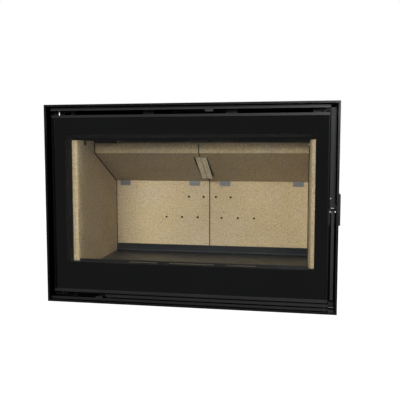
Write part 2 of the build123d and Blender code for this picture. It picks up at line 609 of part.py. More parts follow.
# ---------------------------------------------------------------- lining
def build_lining():
    tray_x = BOX_IN_X - BOARD_PLAY / 2
    board_front = BOX_FRONT + BOARD_FRONT_PLAY
    tray = block(-tray_x, tray_x, board_front, CHAMBER_BACK + BACK_BOARD, FLOOR_TOP, HEARTH_LEVEL)
    tray += block(-CHAMBER_X + BOARD_PLAY, CHAMBER_X - BOARD_PLAY, CHAMBER_BACK - TRAY_SHEET - TRAY_PLAY,
                  CHAMBER_BACK - TRAY_PLAY, HEARTH_LEVEL, HEARTH_LEVEL + TRAY_LIP)
    lip_front = CHAMBER_BACK - TRAY_SHEET - TRAY_PLAY
    bend = [(lip_front - TRAY_BEND, HEARTH_LEVEL), (lip_front, HEARTH_LEVEL),
            (lip_front, HEARTH_LEVEL + TRAY_BEND)]
    nodes["hearth_tray"] = tray + prism_x(bend, -CHAMBER_X + BOARD_PLAY, CHAMBER_X - BOARD_PLAY)

    step = BAFFLE_FRONT - BAFFLE_PLAY
    board = [(board_front, HEARTH_LEVEL), (CHAMBER_BACK + BACK_BOARD, HEARTH_LEVEL),
             (CHAMBER_BACK + BACK_BOARD, under_baffle(CHAMBER_BACK)),
             (CHAMBER_BACK, under_baffle(CHAMBER_BACK)), (step, under_baffle(step)),
             (step, BOARD_TOP), (board_front, BOARD_TOP)]
    side = prism_x(board, -CHAMBER_X - SIDE_BOARD, -CHAMBER_X)
    ease_x = -CHAMBER_X - EASE_WIDTH
    ease_y = board_front + EASE_DEPTH
    corner = block(ease_x, -CHAMBER_X + 1, board_front - 1, ease_y, HEARTH_LEVEL - 1, BOARD_TOP + 1)
    corner -= Pos(ease_x, ease_y, 0) * extrude(Ellipse(EASE_WIDTH, EASE_DEPTH), amount=BOARD_TOP + 2)
    side -= corner
    groove = [(step, under_baffle(step) + 1), (CHAMBER_BACK, under_baffle(CHAMBER_BACK) + 1),
              (CHAMBER_BACK, under_baffle(CHAMBER_BACK) - BOARD_GROOVE),
              (step, under_baffle(step) - BOARD_GROOVE)]
    nodes["side_board_left"] = side - prism_x(groove, -CHAMBER_X - BOARD_GROOVE_DEPTH, -CHAMBER_X + 1)
    nodes["side_board_right"] = mirrored(nodes["side_board_left"])

    back = block(SEAM / 2, CHAMBER_X - SEAM / 2, CHAMBER_BACK, CHAMBER_BACK + BACK_BOARD,
                 HEARTH_LEVEL, BOARD_TOP + BACK_BOARD_EXTRA)
    for offsets, z in ((UPPER_ROW, UPPER_ROW_HEIGHT), (LOWER_ROW, LOWER_ROW_HEIGHT)):
        for x in offsets:
            back -= rod_y(AIR_HOLE, x, z, CHAMBER_BACK - 1, CHAMBER_BACK + BACK_BOARD + 1)
    nodes["back_board_right"] = back
    nodes["back_board_left"] = mirrored(back)

    rise = BAFFLE_BOARD * (1 + BAFFLE_SLOPE ** 2) ** 0.5
    rear = CHAMBER_BACK - SEAM / 2
    section = [(BAFFLE_FRONT, under_baffle(BAFFLE_FRONT)), (rear, under_baffle(rear)),
               (rear, under_baffle(rear) + rise), (BAFFLE_FRONT, under_baffle(BAFFLE_FRONT) + rise)]
    half = prism_x(section, SEAM / 2, CHAMBER_X + SIDE_BOARD)
    pocket_rise = KEY_DEPTH * (1 + BAFFLE_SLOPE ** 2) ** 0.5
    pocket = [(KEY_FRONT, under_baffle(KEY_FRONT) - pocket_rise),
              (KEY_REAR, under_baffle(KEY_REAR) - pocket_rise),
              (KEY_REAR, under_baffle(KEY_REAR) + pocket_rise),
              (KEY_FRONT, under_baffle(KEY_FRONT) + pocket_rise)]
    half -= prism_x(pocket, 0, KEY_WIDTH / 2)
    nodes["baffle_right"] = half
    nodes["baffle_left"] = mirrored(half)

    key_front = KEY_FRONT + SEAM
    key_rear = KEY_REAR - SEAM
    key = [(key_front, under_baffle(key_front) + KEY_FRONT_RECESS),
           (key_rear, under_baffle(key_rear) - KEY_REAR_PROUD),
           (key_rear, under_baffle(key_rear) + pocket_rise),
           (key_front, under_baffle(key_front) + pocket_rise)]
    key_half = prism_x(key, KEY_SPLIT, KEY_WIDTH / 2 - SEAM)
    nodes["baffle_key"] = group([key_half, mirrored(key_half)])

    ledges = []
    for x in (LEDGE_INNER, CHAMBER_X - LEDGE_OUTER_INSET):
        rear = CHAMBER_BACK
        front = rear - LEDGE_OUT
        top_front = under_baffle(front)
        foot = under_baffle(rear) - LEDGE_HEIGHT - LEDGE_SKIRT
        outline = [(front, top_front), (rear, under_baffle(rear)), (rear, foot),
                   (rear - LEDGE_TOE, foot), (front, top_front - LEDGE_NOSE)]
        ledge = prism_x(outline, x - LEDGE_WIDTH / 2, x + LEDGE_WIDTH / 2)
        ledges += [ledge, mirrored(ledge)]
    nodes["baffle_brackets"] = group(ledges)

    hook_out = BOX_IN_X
    hook = block(CHAMBER_X - HOOK_SHEET, hook_out, HOOK_DEPTH - HOOK_WIDTH / 2, HOOK_DEPTH + HOOK_WIDTH / 2,
                 BOARD_TOP, BOARD_TOP + HOOK_SHEET)
    hook += block(CHAMBER_X - HOOK_SHEET, CHAMBER_X, HOOK_DEPTH - HOOK_WIDTH / 2,
                  HOOK_DEPTH + HOOK_WIDTH / 2, BOARD_TOP - HOOK_DROP, BOARD_TOP)
    hook += rod_x(HOOK_RIVET, HOOK_DEPTH, BOARD_TOP - HOOK_RIVET_DROP,
                  CHAMBER_X - HOOK_SHEET - FLAT_HEAD, CHAMBER_X - HOOK_SHEET)
    nodes["board_hooks"] = group([hook, mirrored(hook)])

    guard_back = GUARD_FACE + GUARD_SHEET
    wing_x = OPENING_X - GUARD_WING_PLAY
    guard = block(-CHAMBER_X, CHAMBER_X, GUARD_FACE, guard_back, OPENING_BOTTOM, GUARD_HEIGHT)
    guard += block(-wing_x, wing_x, GUARD_FACE, guard_back, OPENING_BOTTOM, GUARD_WING_HEIGHT)
    slots = ((0, GUARD_CENTRE_SLOT), (-GUARD_SLOT_PITCH, GUARD_SLOT_WIDTH),
             (GUARD_SLOT_PITCH, GUARD_SLOT_WIDTH))
    for offset, width in slots:
        x = offset + GUARD_SLOT_SHIFT
        guard -= block(x - width / 2, x + width / 2, GUARD_FACE - 1, guard_back + 1,
                       GUARD_SLOT_BOTTOM, GUARD_SLOT_TOP)
    guard += block(-CHAMBER_X, CHAMBER_X, guard_back, BOX_FRONT + GUARD_SHELF, OPENING_BOTTOM,
                   OPENING_BOTTOM + GUARD_SHEET)
    nodes["log_guard"] = guard

    deflector_z = BOARD_TOP + DEFLECTOR_RISE
    deflector_x = DEFLECTOR_WIDTH / 2
    deflector = block(-deflector_x, deflector_x, FLUE_DEPTH - DEFLECTOR_DEPTH / 2,
                      FLUE_DEPTH + DEFLECTOR_DEPTH / 2,
                      deflector_z, deflector_z + DEFLECTOR_SHEET)
    for x in (-deflector_x, deflector_x - DEFLECTOR_SHEET):
        deflector += block(x, x + DEFLECTOR_SHEET, FLUE_DEPTH - DEFLECTOR_LEG / 2,
                           FLUE_DEPTH + DEFLECTOR_LEG / 2,
                           deflector_z, BOX_IN_TOP)
    nodes["smoke_deflector"] = deflector


# ---------------------------------------------------------------- air supply
def build_air():
    channel_x = BOX_IN_X - WASH_PLAY
    front = BOX_FRONT + WASH_SHEET
    back = front + WASH_DEPTH
    bottom = OPENING_TOP - WASH_DROP
    top = BOX_IN_TOP
    slot_x = CHAMBER_X - RISER_WIDTH
    slot_front = front + WASH_SHEET
    channel = block(-channel_x, channel_x, front, back, bottom, top)
    channel -= block(-channel_x - 1, channel_x + 1, slot_front, back - WASH_SHEET, bottom + WASH_SHEET,
                     top - WASH_SHEET)
    channel -= block(-slot_x, slot_x, slot_front, slot_front + WASH_SLOT, bottom - 1,
                     bottom + WASH_SHEET + 1)
    nodes["airwash_channel"] = channel

    riser_in = BOX_OUT_X
    riser = block(-riser_in - RISER_WIDTH, -riser_in, BOX_FRONT, BOX_FRONT + RISER_DEPTH, MANIFOLD_TOP,
                  BOX_IN_TOP)
    riser -= block(-riser_in - RISER_WIDTH + DUCT_SHEET, -riser_in - DUCT_SHEET, BOX_FRONT + DUCT_SHEET,
                   BOX_FRONT + RISER_DEPTH - DUCT_SHEET, MANIFOLD_TOP - 1, BOX_IN_TOP - DUCT_SHEET)
    riser -= block(-riser_in - DUCT_SHEET - 1, -riser_in + 1, BOX_FRONT + PORT_FRONT, BOX_FRONT + PORT_BACK,
                   OPENING_TOP + PORT_BELOW, BOX_IN_TOP - PORT_ABOVE)
    nodes["airwash_riser_left"] = riser
    nodes["airwash_riser_right"] = mirrored(riser)

    manifold_x = BOX_OUT_X + RISER_WIDTH
    shutter_back = MANIFOLD_FACE + MANIFOLD_DEPTH
    manifold = block(-manifold_x, manifold_x, MANIFOLD_FACE, BOX_FRONT + RISER_DEPTH, MANIFOLD_BOTTOM,
                     MANIFOLD_TOP)
    manifold -= block(-manifold_x + DUCT_SHEET, manifold_x - DUCT_SHEET, MANIFOLD_FACE + DUCT_SHEET,
                      BOX_FRONT + RISER_DEPTH - DUCT_SHEET, MANIFOLD_BOTTOM + DUCT_SHEET,
                      MANIFOLD_TOP - DUCT_SHEET)
    manifold -= block(-AIR_BOX_X, AIR_BOX_X, shutter_back, BOX_FRONT + RISER_DEPTH + 1,
                      MANIFOLD_BOTTOM - 1, MANIFOLD_TOP + 1)
    arm_left = -INLET_X
    arm_right = SLIDE_ARM_X + SLIDE_ARM_WIDTH / 2 + SLIDE_IN + SLIDE_CLEARANCE
    manifold -= block(arm_left, arm_right, MANIFOLD_FACE - 1, MANIFOLD_FACE + DUCT_SHEET + 1,
                      SLIDE_HEIGHT - 1, SLIDE_HEIGHT + SLIDE_SLOT_ABOVE)
    port_half = RISER_WIDTH / 2 - RISER_PORT_INSET
    for x in (-BOX_OUT_X - RISER_WIDTH / 2, BOX_OUT_X + RISER_WIDTH / 2):
        manifold -= block(x - port_half, x + port_half, BOX_FRONT + RISER_PORT_INSET,
                          BOX_FRONT + RISER_DEPTH - RISER_PORT_INSET, MANIFOLD_TOP - DUCT_SHEET - 1,
                          MANIFOLD_TOP + 1)
    nodes["air_manifold"] = manifold

    half = AIR_BOX_X
    rise_front = BOX_BACK + RISE_GAP
    rise_back = CASING_IN_BACK
    profile = [(shutter_back, CASING_SHEET), (rise_back, CASING_SHEET), (rise_back, AIR_BOX_TOP),
               (rise_front, AIR_BOX_TOP), (rise_front, MANIFOLD_TOP), (shutter_back, MANIFOLD_TOP)]
    low = CASING_SHEET + DUCT_SHEET
    hollow = [(shutter_back + DUCT_SHEET, low), (rise_back - DUCT_SHEET, low),
              (rise_back - DUCT_SHEET, AIR_BOX_TOP - DUCT_SHEET),
              (rise_front + DUCT_SHEET, AIR_BOX_TOP - DUCT_SHEET),
              (rise_front + DUCT_SHEET, MANIFOLD_TOP - DUCT_SHEET),
              (shutter_back + DUCT_SHEET, MANIFOLD_TOP - DUCT_SHEET)]
    box = prism_x(profile, -half, half) - prism_x(hollow, -half + DUCT_SHEET, half - DUCT_SHEET)
    box -= rod_y(AIR_PIPE - 2 * AIR_PIPE_WALL, 0, AIR_PIPE_HEIGHT, rise_back - DUCT_SHEET - 1,
                 rise_back + 1)
    for step in (-1, 0, 1):
        x = step * SHUTTER_PITCH
        box -= block(x - SHUTTER_WINDOW / 2, x + SHUTTER_WINDOW / 2, shutter_back - 1,
                     shutter_back + DUCT_SHEET + 1,
                     SLIDE_HEIGHT + SHUTTER_WINDOW_BOTTOM,
                     SLIDE_HEIGHT + SHUTTER_HEIGHT - SHUTTER_WINDOW_TOP)
    neck_back = BOX_IN_BACK - NECK_PLAY
    neck_front = neck_back - DUCT_DEPTH + 2 * NECK_PLAY
    neck_in = NECK_WIDTH / 2 - NECK_WALL
    box += block(-NECK_WIDTH / 2, NECK_WIDTH / 2, neck_front - NECK_WALL, neck_back + NECK_WALL,
                 MANIFOLD_TOP, FLOOR_BOTTOM)
    box -= block(-neck_in, neck_in, neck_front, neck_back, MANIFOLD_TOP - DUCT_SHEET - 1, FLOOR_BOTTOM + 1)
    nodes["air_box"] = box

    pipe = rod_y(AIR_PIPE, 0, AIR_PIPE_HEIGHT, CASING_BACK, CASING_BACK + AIR_PIPE_LENGTH)
    pipe -= rod_y(AIR_PIPE - 2 * AIR_PIPE_WALL, 0, AIR_PIPE_HEIGHT, CASING_BACK - 1,
                  CASING_BACK + AIR_PIPE_LENGTH + 1)
    nodes["air_spigot"] = pipe

    duct_front = CHAMBER_BACK + BACK_BOARD + BOARD_PLAY
    duct_x = max(LOWER_ROW) + REAR_DUCT_MARGIN
    duct_top = UPPER_ROW_HEIGHT + REAR_DUCT_MARGIN
    duct = block(-duct_x, duct_x, duct_front, BOX_IN_BACK, FLOOR_TOP, duct_top)
    duct -= block(-duct_x + DUCT_SHEET, duct_x - DUCT_SHEET, duct_front + DUCT_SHEET, BOX_IN_BACK + 1,
                  FLOOR_TOP - 1, duct_top - DUCT_SHEET)
    for offsets, z in ((UPPER_ROW, UPPER_ROW_HEIGHT), (LOWER_ROW, LOWER_ROW_HEIGHT)):
        for offset in offsets:
            for x in (-offset, offset):
                duct -= rod_y(AIR_HOLE + AIR_HOLE_PLAY, x, z, duct_front - 1, duct_front + DUCT_SHEET + 1)
    nodes["rear_air_duct"] = duct


def build_air_slide():
    shutter_back = MANIFOLD_FACE + MANIFOLD_DEPTH - RUNNING_GAP
    shutter_front = shutter_back - SHUTTER_SHEET
    arm_left = SLIDE_ARM_X - SLIDE_ARM_WIDTH / 2
    arm_right = SLIDE_ARM_X + SLIDE_ARM_WIDTH / 2
    arm_front = LOUVRE_FACE - RUNNING_GAP
    slide = block(arm_left, arm_right, arm_front, shutter_back, SLIDE_HEIGHT, SLIDE_HEIGHT + SLIDE_SHEET)
    shutter_right = SHUTTER_PITCH + SLIDE_OUT + SHUTTER_WINDOW / 2 + SHUTTER_END
    slide += block(arm_left, shutter_right, shutter_front, shutter_back, SLIDE_HEIGHT,
                   SLIDE_HEIGHT + SHUTTER_HEIGHT)
    for step in (-1, 0, 1):
        x = step * SHUTTER_PITCH + SLIDE_OUT
        slide -= block(x - SHUTTER_WINDOW / 2, x + SHUTTER_WINDOW / 2, shutter_front - 1, shutter_back + 1,
                       SLIDE_HEIGHT + SHUTTER_WINDOW_BOTTOM,
                       SLIDE_HEIGHT + SHUTTER_HEIGHT - SHUTTER_WINDOW_TOP)
    nodes["air_slide"] = slide

    right = SLIDE_ARM_X + KNOB_WIDTH / 2
    left = SLIDE_ARM_X - KNOB_WIDTH / 2
    top = SLIDE_HEIGHT + KNOB_RISE
    foot = top - KNOB_HEIGHT
    face = [(left + KNOB_TOP_SLANT, top), (right, top), (right - KNOB_FOOT_SLANT, foot), (left, foot)]
    nodes["air_knob"] = plate_xz(face, arm_front - KNOB_SHEET, arm_front)

    rail_right = shutter_right + SLIDE_IN + SLIDE_CLEARANCE
    rail_left = -INLET_X
    rail_back = MANIFOLD_FACE + MANIFOLD_DEPTH
    rail = block(rail_left, rail_right, rail_back - SLIDE_RAIL_DEPTH, rail_back,
                 MANIFOLD_BOTTOM + DUCT_SHEET, SLIDE_HEIGHT - RUNNING_GAP)
    nodes["slide_rail"] = rail


# ---------------------------------------------------------------- door
def build_door():
    outer = (DOOR_LEFT, DOOR_RIGHT, DOOR_BOTTOM, DOOR_TOP)
    glass = (DOOR_LEFT + DOOR_SIDE_STRIP + GLASS_PLAY, DOOR_RIGHT - DOOR_SIDE_STRIP - GLASS_PLAY,
             DOOR_BOTTOM + DOOR_SHEET + GLASS_PLAY, DOOR_TOP - DOOR_SHEET - GLASS_PLAY)
    view = (VIEW_LEFT, VIEW_RIGHT, VIEW_BOTTOM, VIEW_TOP)
    glass_back = DOOR_FACE + GLASS
    ledge_front = glass_back + GASKET
    ledge_back = ledge_front + DOOR_SHEET
    rim = ring_xz(outer, grown(glass, GLASS_PLAY), DOOR_FACE, ledge_front)
    ledge = ring_xz(outer, view, ledge_front, ledge_back)

    land_right = OPENING_X + RAIL_WIDTH / 2 + RAIL_OUTSIDE
    land_left = -land_right
    land_bottom = OPENING_BOTTOM - RAIL_WIDTH / 2 - RAIL_BELOW
    land_top = OPENING_TOP + RAIL_WIDTH / 2 + RAIL_ABOVE
    centre_line = (land_left, land_right, land_bottom, land_top)
    rail = ring_xz(grown(centre_line, RAIL_WIDTH / 2), grown(centre_line, -RAIL_WIDTH / 2), ledge_back,
                   RAIL_BACK)
    rope_back = FRONT_PLATE_FACE - ROPE_GAP
    groove = ring_xz(grown(centre_line, ROPE / 2), grown(centre_line, -ROPE / 2), rope_back - ROPE,
                     RAIL_BACK + 1)
    pin_plate_x = HINGE_X + BRACKET_WIDTH / 2
    frame = rim + ledge + rail - groove
    for low in (DOOR_TOP - DOOR_SHEET, DOOR_BOTTOM):
        high = low + DOOR_SHEET
        frame += block(HINGE_X - EAR_REACH, pin_plate_x, ledge_back - 1, HINGE_DEPTH + EAR_REACH, low, high)
        frame -= rod_z(HINGE_PIN, HINGE_X, HINGE_DEPTH, low - 1, high + 1)
    frame += block(DOOR_RIGHT - DOOR_SHEET, DOOR_RIGHT, ledge_back - 1, DOOR_FACE + PIVOT_PLATE_DEPTH,
                   PIVOT_HEIGHT - PIVOT_PLATE_BELOW - DOOR_SHEET,
                   PIVOT_HEIGHT + PIVOT_PLATE_ABOVE + DOOR_SHEET)
    nodes["door_frame"] = frame

    left, right, bottom, top = glass
    nodes["door_glass"] = block(left, right, DOOR_FACE, glass_back, bottom, top)
    nodes["glass_gasket"] = ring_xz(grown(glass, -GASKET_INSET), grown(view, GASKET_INSET), glass_back,
                                    ledge_front)

    trim_front = DOOR_FACE - TRIM_SHEET
    trims = []
    for low, high in ((DOOR_TOP - DOOR_TOP_TRIM, DOOR_TOP),
                      (DOOR_BOTTOM, DOOR_BOTTOM + DOOR_BOTTOM_TRIM)):
        trims.append(block(DOOR_LEFT, DOOR_RIGHT, trim_front, DOOR_FACE, low, high))
    nodes["door_top_trim"], nodes["door_bottom_trim"] = trims

    rope_front = rope_back - ROPE
    rope_half = ROPE / 2 - ROPE_PLAY
    rope = ring_xz(grown(centre_line, rope_half), grown(centre_line, -rope_half), rope_front, rope_back)
    nodes["door_seal"] = rope

    upper_pin = rod_z(HINGE_PIN, HINGE_X, HINGE_DEPTH, DOOR_TOP - DOOR_SHEET,
                      UPPER_BRACKET_HEIGHT + BRACKET_PLATE + PIN_END)
    lower_pin = rod_z(HINGE_PIN, HINGE_X, HINGE_DEPTH, LOWER_BRACKET_TOP - BRACKET_PLATE - PIN_END,
                      DOOR_BOTTOM + DOOR_SHEET)
    nodes["hinge_pins"] = group([upper_pin, lower_pin])


def build_hinges():
    left = -CASING_IN_X
    right = HINGE_X + BRACKET_WIDTH / 2
    bush_out = HINGE_PIN + 2 * (HINGE_FIT + BUSH_WALL)
    plate_front = SLEEVE_DEPTH - CASING_SHEET
    heights = ((UPPER_BRACKET_HEIGHT, plate_front), (LOWER_BRACKET_TOP - BRACKET_PLATE, FRONT_PLATE_FACE))
    brackets = []
    bushes = []
    for z, back in heights:
        bracket = block(left, right, HINGE_DEPTH - BRACKET_REACH, back, z, z + BRACKET_PLATE)
        brackets.append(bracket - rod_z(bush_out, HINGE_X, HINGE_DEPTH, z - 1, z + BRACKET_PLATE + 1))
        bush = rod_z(bush_out, HINGE_X, HINGE_DEPTH, z, z + BRACKET_PLATE)
        bushes.append(bush - rod_z(HINGE_PIN + 2 * HINGE_FIT, HINGE_X, HINGE_DEPTH, z - 1,
                                   z + BRACKET_PLATE + 1))
    washer = rod_z(bush_out + 2 * WASHER_RIM, HINGE_X, HINGE_DEPTH, LOWER_BRACKET_TOP,
                   DOOR_BOTTOM - WASHER_GAP)
    washer -= rod_z(HINGE_PIN + 2 * HINGE_FIT, HINGE_X, HINGE_DEPTH, LOWER_BRACKET_TOP - 1, DOOR_BOTTOM + 1)
    nodes["hinge_brackets"] = group(brackets)
    nodes["hinge_bushes"] = group(bushes)
    nodes["hinge_washer"] = washer


# ---------------------------------------------------------------- latch
def build_latch():
    plate_x = DOOR_RIGHT + PIVOT_PLATE
    plate = block(DOOR_RIGHT, plate_x, DOOR_FACE, DOOR_FACE + PIVOT_PLATE_DEPTH,
                  PIVOT_HEIGHT - PIVOT_PLATE_BELOW, PIVOT_HEIGHT + PIVOT_PLATE_ABOVE)
    pieces = [plate]
    for drop in PIVOT_SCREW_DROPS:
        pieces.append(rod_x(CATCH_SCREW, PIVOT_DEPTH + BRACKET_REACH, PIVOT_HEIGHT - drop, plate_x,
                            plate_x + FLAT_HEAD))
    nodes["lever_bracket"] = group(pieces)

    lever_right = LEVER_LEFT + LEVER_WIDTH
    pin = rod_x(PIVOT_PIN, PIVOT_DEPTH, PIVOT_HEIGHT, plate_x, CHANNEL_RIGHT)
    pin += rod_x(PIVOT_PIN + PIN_COLLAR, PIVOT_DEPTH, PIVOT_HEIGHT, plate_x, LEVER_LEFT - RUNNING_GAP)
    pin += rod_x(PIVOT_PIN + PIN_HEAD, PIVOT_DEPTH, PIVOT_HEIGHT, lever_right + RUNNING_GAP, CHANNEL_RIGHT)
    nodes["lever_pin"] = pin

    bar_front = CHANNEL_FACE + CATCH_GAP
    lever = block(LEVER_LEFT, lever_right, bar_front, bar_front + LEVER_SHEET, LEVER_FOOT,
                  PIVOT_HEIGHT + LEVER_ABOVE_PIVOT)
    lever += rod_x(LEVER_HUB, PIVOT_DEPTH, PIVOT_HEIGHT, LEVER_LEFT, lever_right)
    nose_top = PIVOT_HEIGHT + NOSE_RISE
    lever += block(LEVER_LEFT, lever_right, PIVOT_DEPTH, PIVOT_DEPTH + NOSE_LENGTH,
                   nose_top - NOSE_HEIGHT, nose_top)
    lever -= rod_x(PIVOT_PIN + 2 * PIVOT_FIT, PIVOT_DEPTH, PIVOT_HEIGHT, LEVER_LEFT - 1, lever_right + 1)
    nodes["handle_lever"] = lever

    roller = rod_x(ROLLER, CATCH_DEPTH, CATCH_HEIGHT, LEVER_LEFT, lever_right)
    roller -= rod_x(CATCH_PIN + 2 * ROLLER_BORE_FIT, CATCH_DEPTH, CATCH_HEIGHT, LEVER_LEFT - 1,
                    lever_right + 1)
    nodes["catch_roller"] = roller

    cap_left = LEVER_LEFT - RUNNING_GAP - FLAT_HEAD
    catch_pin = rod_x(CATCH_PIN, CATCH_DEPTH, CATCH_HEIGHT, cap_left, SLEEVE_OUT_X + PIN_END)
    catch_pin += rod_x(CATCH_PIN + PIN_COLLAR, CATCH_DEPTH, CATCH_HEIGHT, cap_left,
                       LEVER_LEFT - RUNNING_GAP)
    catch_pin += rod_x(CATCH_PIN + CATCH_PIN_FLANGE, CATCH_DEPTH, CATCH_HEIGHT, CHANNEL_RIGHT, SLEEVE_IN_X)
    nodes["catch_pin"] = catch_pin

    box = block(SLEEVE_OUT_X, SLEEVE_OUT_X + CATCH_BOX_DEPTH, CATCH_BOX_FRONT, CATCH_BOX_BACK,
                CATCH_BOX_BOTTOM, CATCH_BOX_TOP)
    box -= block(SLEEVE_OUT_X - 1, SLEEVE_OUT_X + CATCH_BOX_DEPTH - CASING_SHEET,
                 CATCH_BOX_FRONT + CASING_SHEET,
                 CATCH_BOX_BACK - CASING_SHEET, CATCH_BOX_BOTTOM + CASING_SHEET,
                 CATCH_BOX_TOP - CASING_SHEET)
    nodes["catch_box"] = box

    heads = []
    for z in CATCH_SCREW_HEIGHTS:
        heads.append(rod_x(CATCH_SCREW, CATCH_DEPTH, z, SLEEVE_IN_X - FLAT_HEAD, SLEEVE_IN_X))
    heads.append(rod_y(CHANNEL_SCREW, CHANNEL_LEFT + CHANNEL_SCREW / 2 + CATCH_GAP, CHANNEL_SCREW_HEIGHT,
                       CHANNEL_FACE - CHANNEL_SCREW_HEAD, CHANNEL_FACE))
    nodes["catch_screws"] = group(heads)


build_front()
build_side_channel()
build_casing()
build_firebox()
build_lining()
build_air()
build_air_slide()
build_door()
build_hinges()
build_latch()

# ---------------------------------------------------------------- output
os.makedirs("parts", exist_ok=True)
for name, shape in nodes.items():
    export_step(Pos(0, -FLUE_DEPTH, 0) * shape, f"parts/{name}.step")
print(len(nodes), "pieces")
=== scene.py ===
import json
import math

import bmesh
import bpy
from mathutils import Matrix, Vector


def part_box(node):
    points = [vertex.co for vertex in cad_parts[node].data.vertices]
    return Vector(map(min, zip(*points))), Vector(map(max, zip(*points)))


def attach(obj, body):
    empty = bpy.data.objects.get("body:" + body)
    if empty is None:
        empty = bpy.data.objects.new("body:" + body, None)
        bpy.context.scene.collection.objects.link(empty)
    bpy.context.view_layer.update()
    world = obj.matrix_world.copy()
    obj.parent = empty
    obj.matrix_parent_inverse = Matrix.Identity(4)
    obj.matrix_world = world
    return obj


# Looks of a fireplace insert: matt and satin black steel, printed glass, speckled fireproof boards,
# a dark hearth plate and a zinc-coated casing. Metres, in the frame of the solids: X to the right,
# Y towards the back, Z up. Colours are linear red, green and blue.

# ---------------------------------------------------------------- driving values
# Camera, found from the four corners of the front frame. Angles in degrees, lens and sensor in mm.
CAMERA_PLACE = (0.3423, -1.9104, 0.4610)
CAMERA_TURN = 10.35
CAMERA_DIP = 4.82
CAMERA_LENS = 52.0
SENSOR = 36.0

# Black print on the glass: limits of the clear view inside it, its distance from the edge of the
# glass, and half its thickness
VIEW_LEFT = -0.3812
VIEW_RIGHT = 0.3697
VIEW_BOTTOM = 0.1196
VIEW_TOP = 0.511
PRINT_EDGE = 0.0005
PRINT_RAISE = 0.00012

# Painted highlight on the tip of the right board hook, a near-white dome: towards the middle from
# the board's face, and up from the hooks' lower end
HOOK_TIP_OUT = 0.0014
HOOK_TIP_RISE = 0.0010
HOOK_TIP_HALF_SIZES = (0.0016, 0.0026, 0.0026)

# Painted highlights on two edges of the side channel, as light strips: how far they stand out, along
# X from its left side, and up from the lever's pivot or the channel's lower end
EDGE_RAISE = 0.0003
NOTCH_EDGE_START = 0.003
NOTCH_EDGE_END = 0.012
NOTCH_EDGE_FOOT = 0.0110
NOTCH_EDGE_TOP = 0.0128
FOOT_EDGE_FOOT = 0.0015
FOOT_EDGE_TOP = 0.0025

# Painted highlight on the head of the lever's pin, a near-white dome, from the pin's front right end
# at the pivot's height
PIVOT_HEAD_SHIFT = Vector((0.0002, 0.0002, 0.0008))
PIVOT_HEAD_HALF_SIZES = (0.0020, 0.0014, 0.0024)

# Places where shade is painted: dull black in folds and recesses, dark brown in the boards' joints,
# holes and key pocket
FAR = 1.0                    # past every side of the object
MASK_EDGE = 0.0005           # width of the soft edge
FRAME_UNSHADED = 0.003          # depth of the front frame before its painted shade
FOLD_UNSHADED = 0.002           # depth of the louvre and the side channel before their painted shade
CHANNEL_SHADE_END = -0.215        # depth where the side channel's painted shade ends
SEAM_SHADE = 0.0018           # half width of painted shade at the joint in the middle
JOINT_LINE = 0.0014          # width of painted shade where boards meet in a corner
HOLE_UNSHADED = 0.0004          # depth of the back boards before the painted shade inside their holes
GROOVE_SHADE_START = 0.0012        # past the back boards' ends, where painted shade turns the side boards dark
GROOVE_UNSHADED_FRONT = 0.060          # front part of the side boards' grooves kept free of painted shade
KEY_JOINT = 0.0032           # width of painted shade around the key
KEY_RIM = 0.0018             # width of painted shade along the key's own rim

# Bend of the hearth tray: how far in front of the back boards it is, the painted shadow line's front
# and back from there, and the painted highlight line's lower and upper limits above the tray's
# underside
TRAY_BEND = 0.0053
TRAY_BEND_FRONT = 0.0008
TRAY_BEND_BACK = 0.0022
TRAY_BEND_FOOT = 0.0042
TRAY_BEND_TOP = 0.0076

# Range that noise seldom leaves
NOISE_LOW = 0.3
NOISE_HIGH = 0.7

# Colours of painted shade, boards, the key's painted light, hearth, the bend's painted highlight and
# print
BLACK = (0.0, 0.0, 0.0)
WHITE = (1.0, 1.0, 1.0)
# Dark brown of painted shade in the boards' joints, holes and key pocket
SHADE_BROWN = (0.022, 0.016, 0.011)
# Dull black of painted shade in folds and in the tray's bend
SHADE_BLACK = (0.0012, 0.0012, 0.0012)
BOARD_DARK = (0.485, 0.378, 0.228)
BOARD_LIGHT = (0.575, 0.462, 0.292)
BOARD_GREY = (0.49, 0.425, 0.36)
# Key board: the boards' beige made far paler, as painted light on the key
LIT_KEY_DARK = (0.98, 0.84, 0.60)
LIT_KEY_LIGHT = (1.0, 0.90, 0.68)
CHIP_DARK = (0.80, 0.78, 0.76)
CHIP_LIGHT = (1.13, 1.12, 1.10)
GRAIN_DARK = (0.72, 0.70, 0.68)
GRAIN_LIGHT = (1.12, 1.11, 1.09)
FLECK = (0.13, 0.075, 0.04)
HEARTH_DARK = (0.0080, 0.0090, 0.0108)
HEARTH_LIGHT = (0.0130, 0.0144, 0.0170)
# Painted highlight: the light line above the tray's bend
BEND_HIGHLIGHT = (0.042, 0.045, 0.050)
ENAMEL_DARK = (0.0026, 0.0027, 0.0029)
ENAMEL_LIGHT = (0.0034, 0.0036, 0.0039)

# Painted light and shade: how much lighter or darker a board is painted at the chamber's left, middle
# and right
LIGHT_AND_SHADE_TONES = {
    "back_board": (1.22, 0.92, 1.12),
    "baffle_board": (0.80, 1.00, 1.24),
}

# Shine is the specular level of a paint, and inside shine that of its parts where shade is painted
# black. The spread is how far its roughness varies either way.
SHINE = 0.5
INSIDE_SHINE = 0.08
GLOSS_SPREAD = 0.04

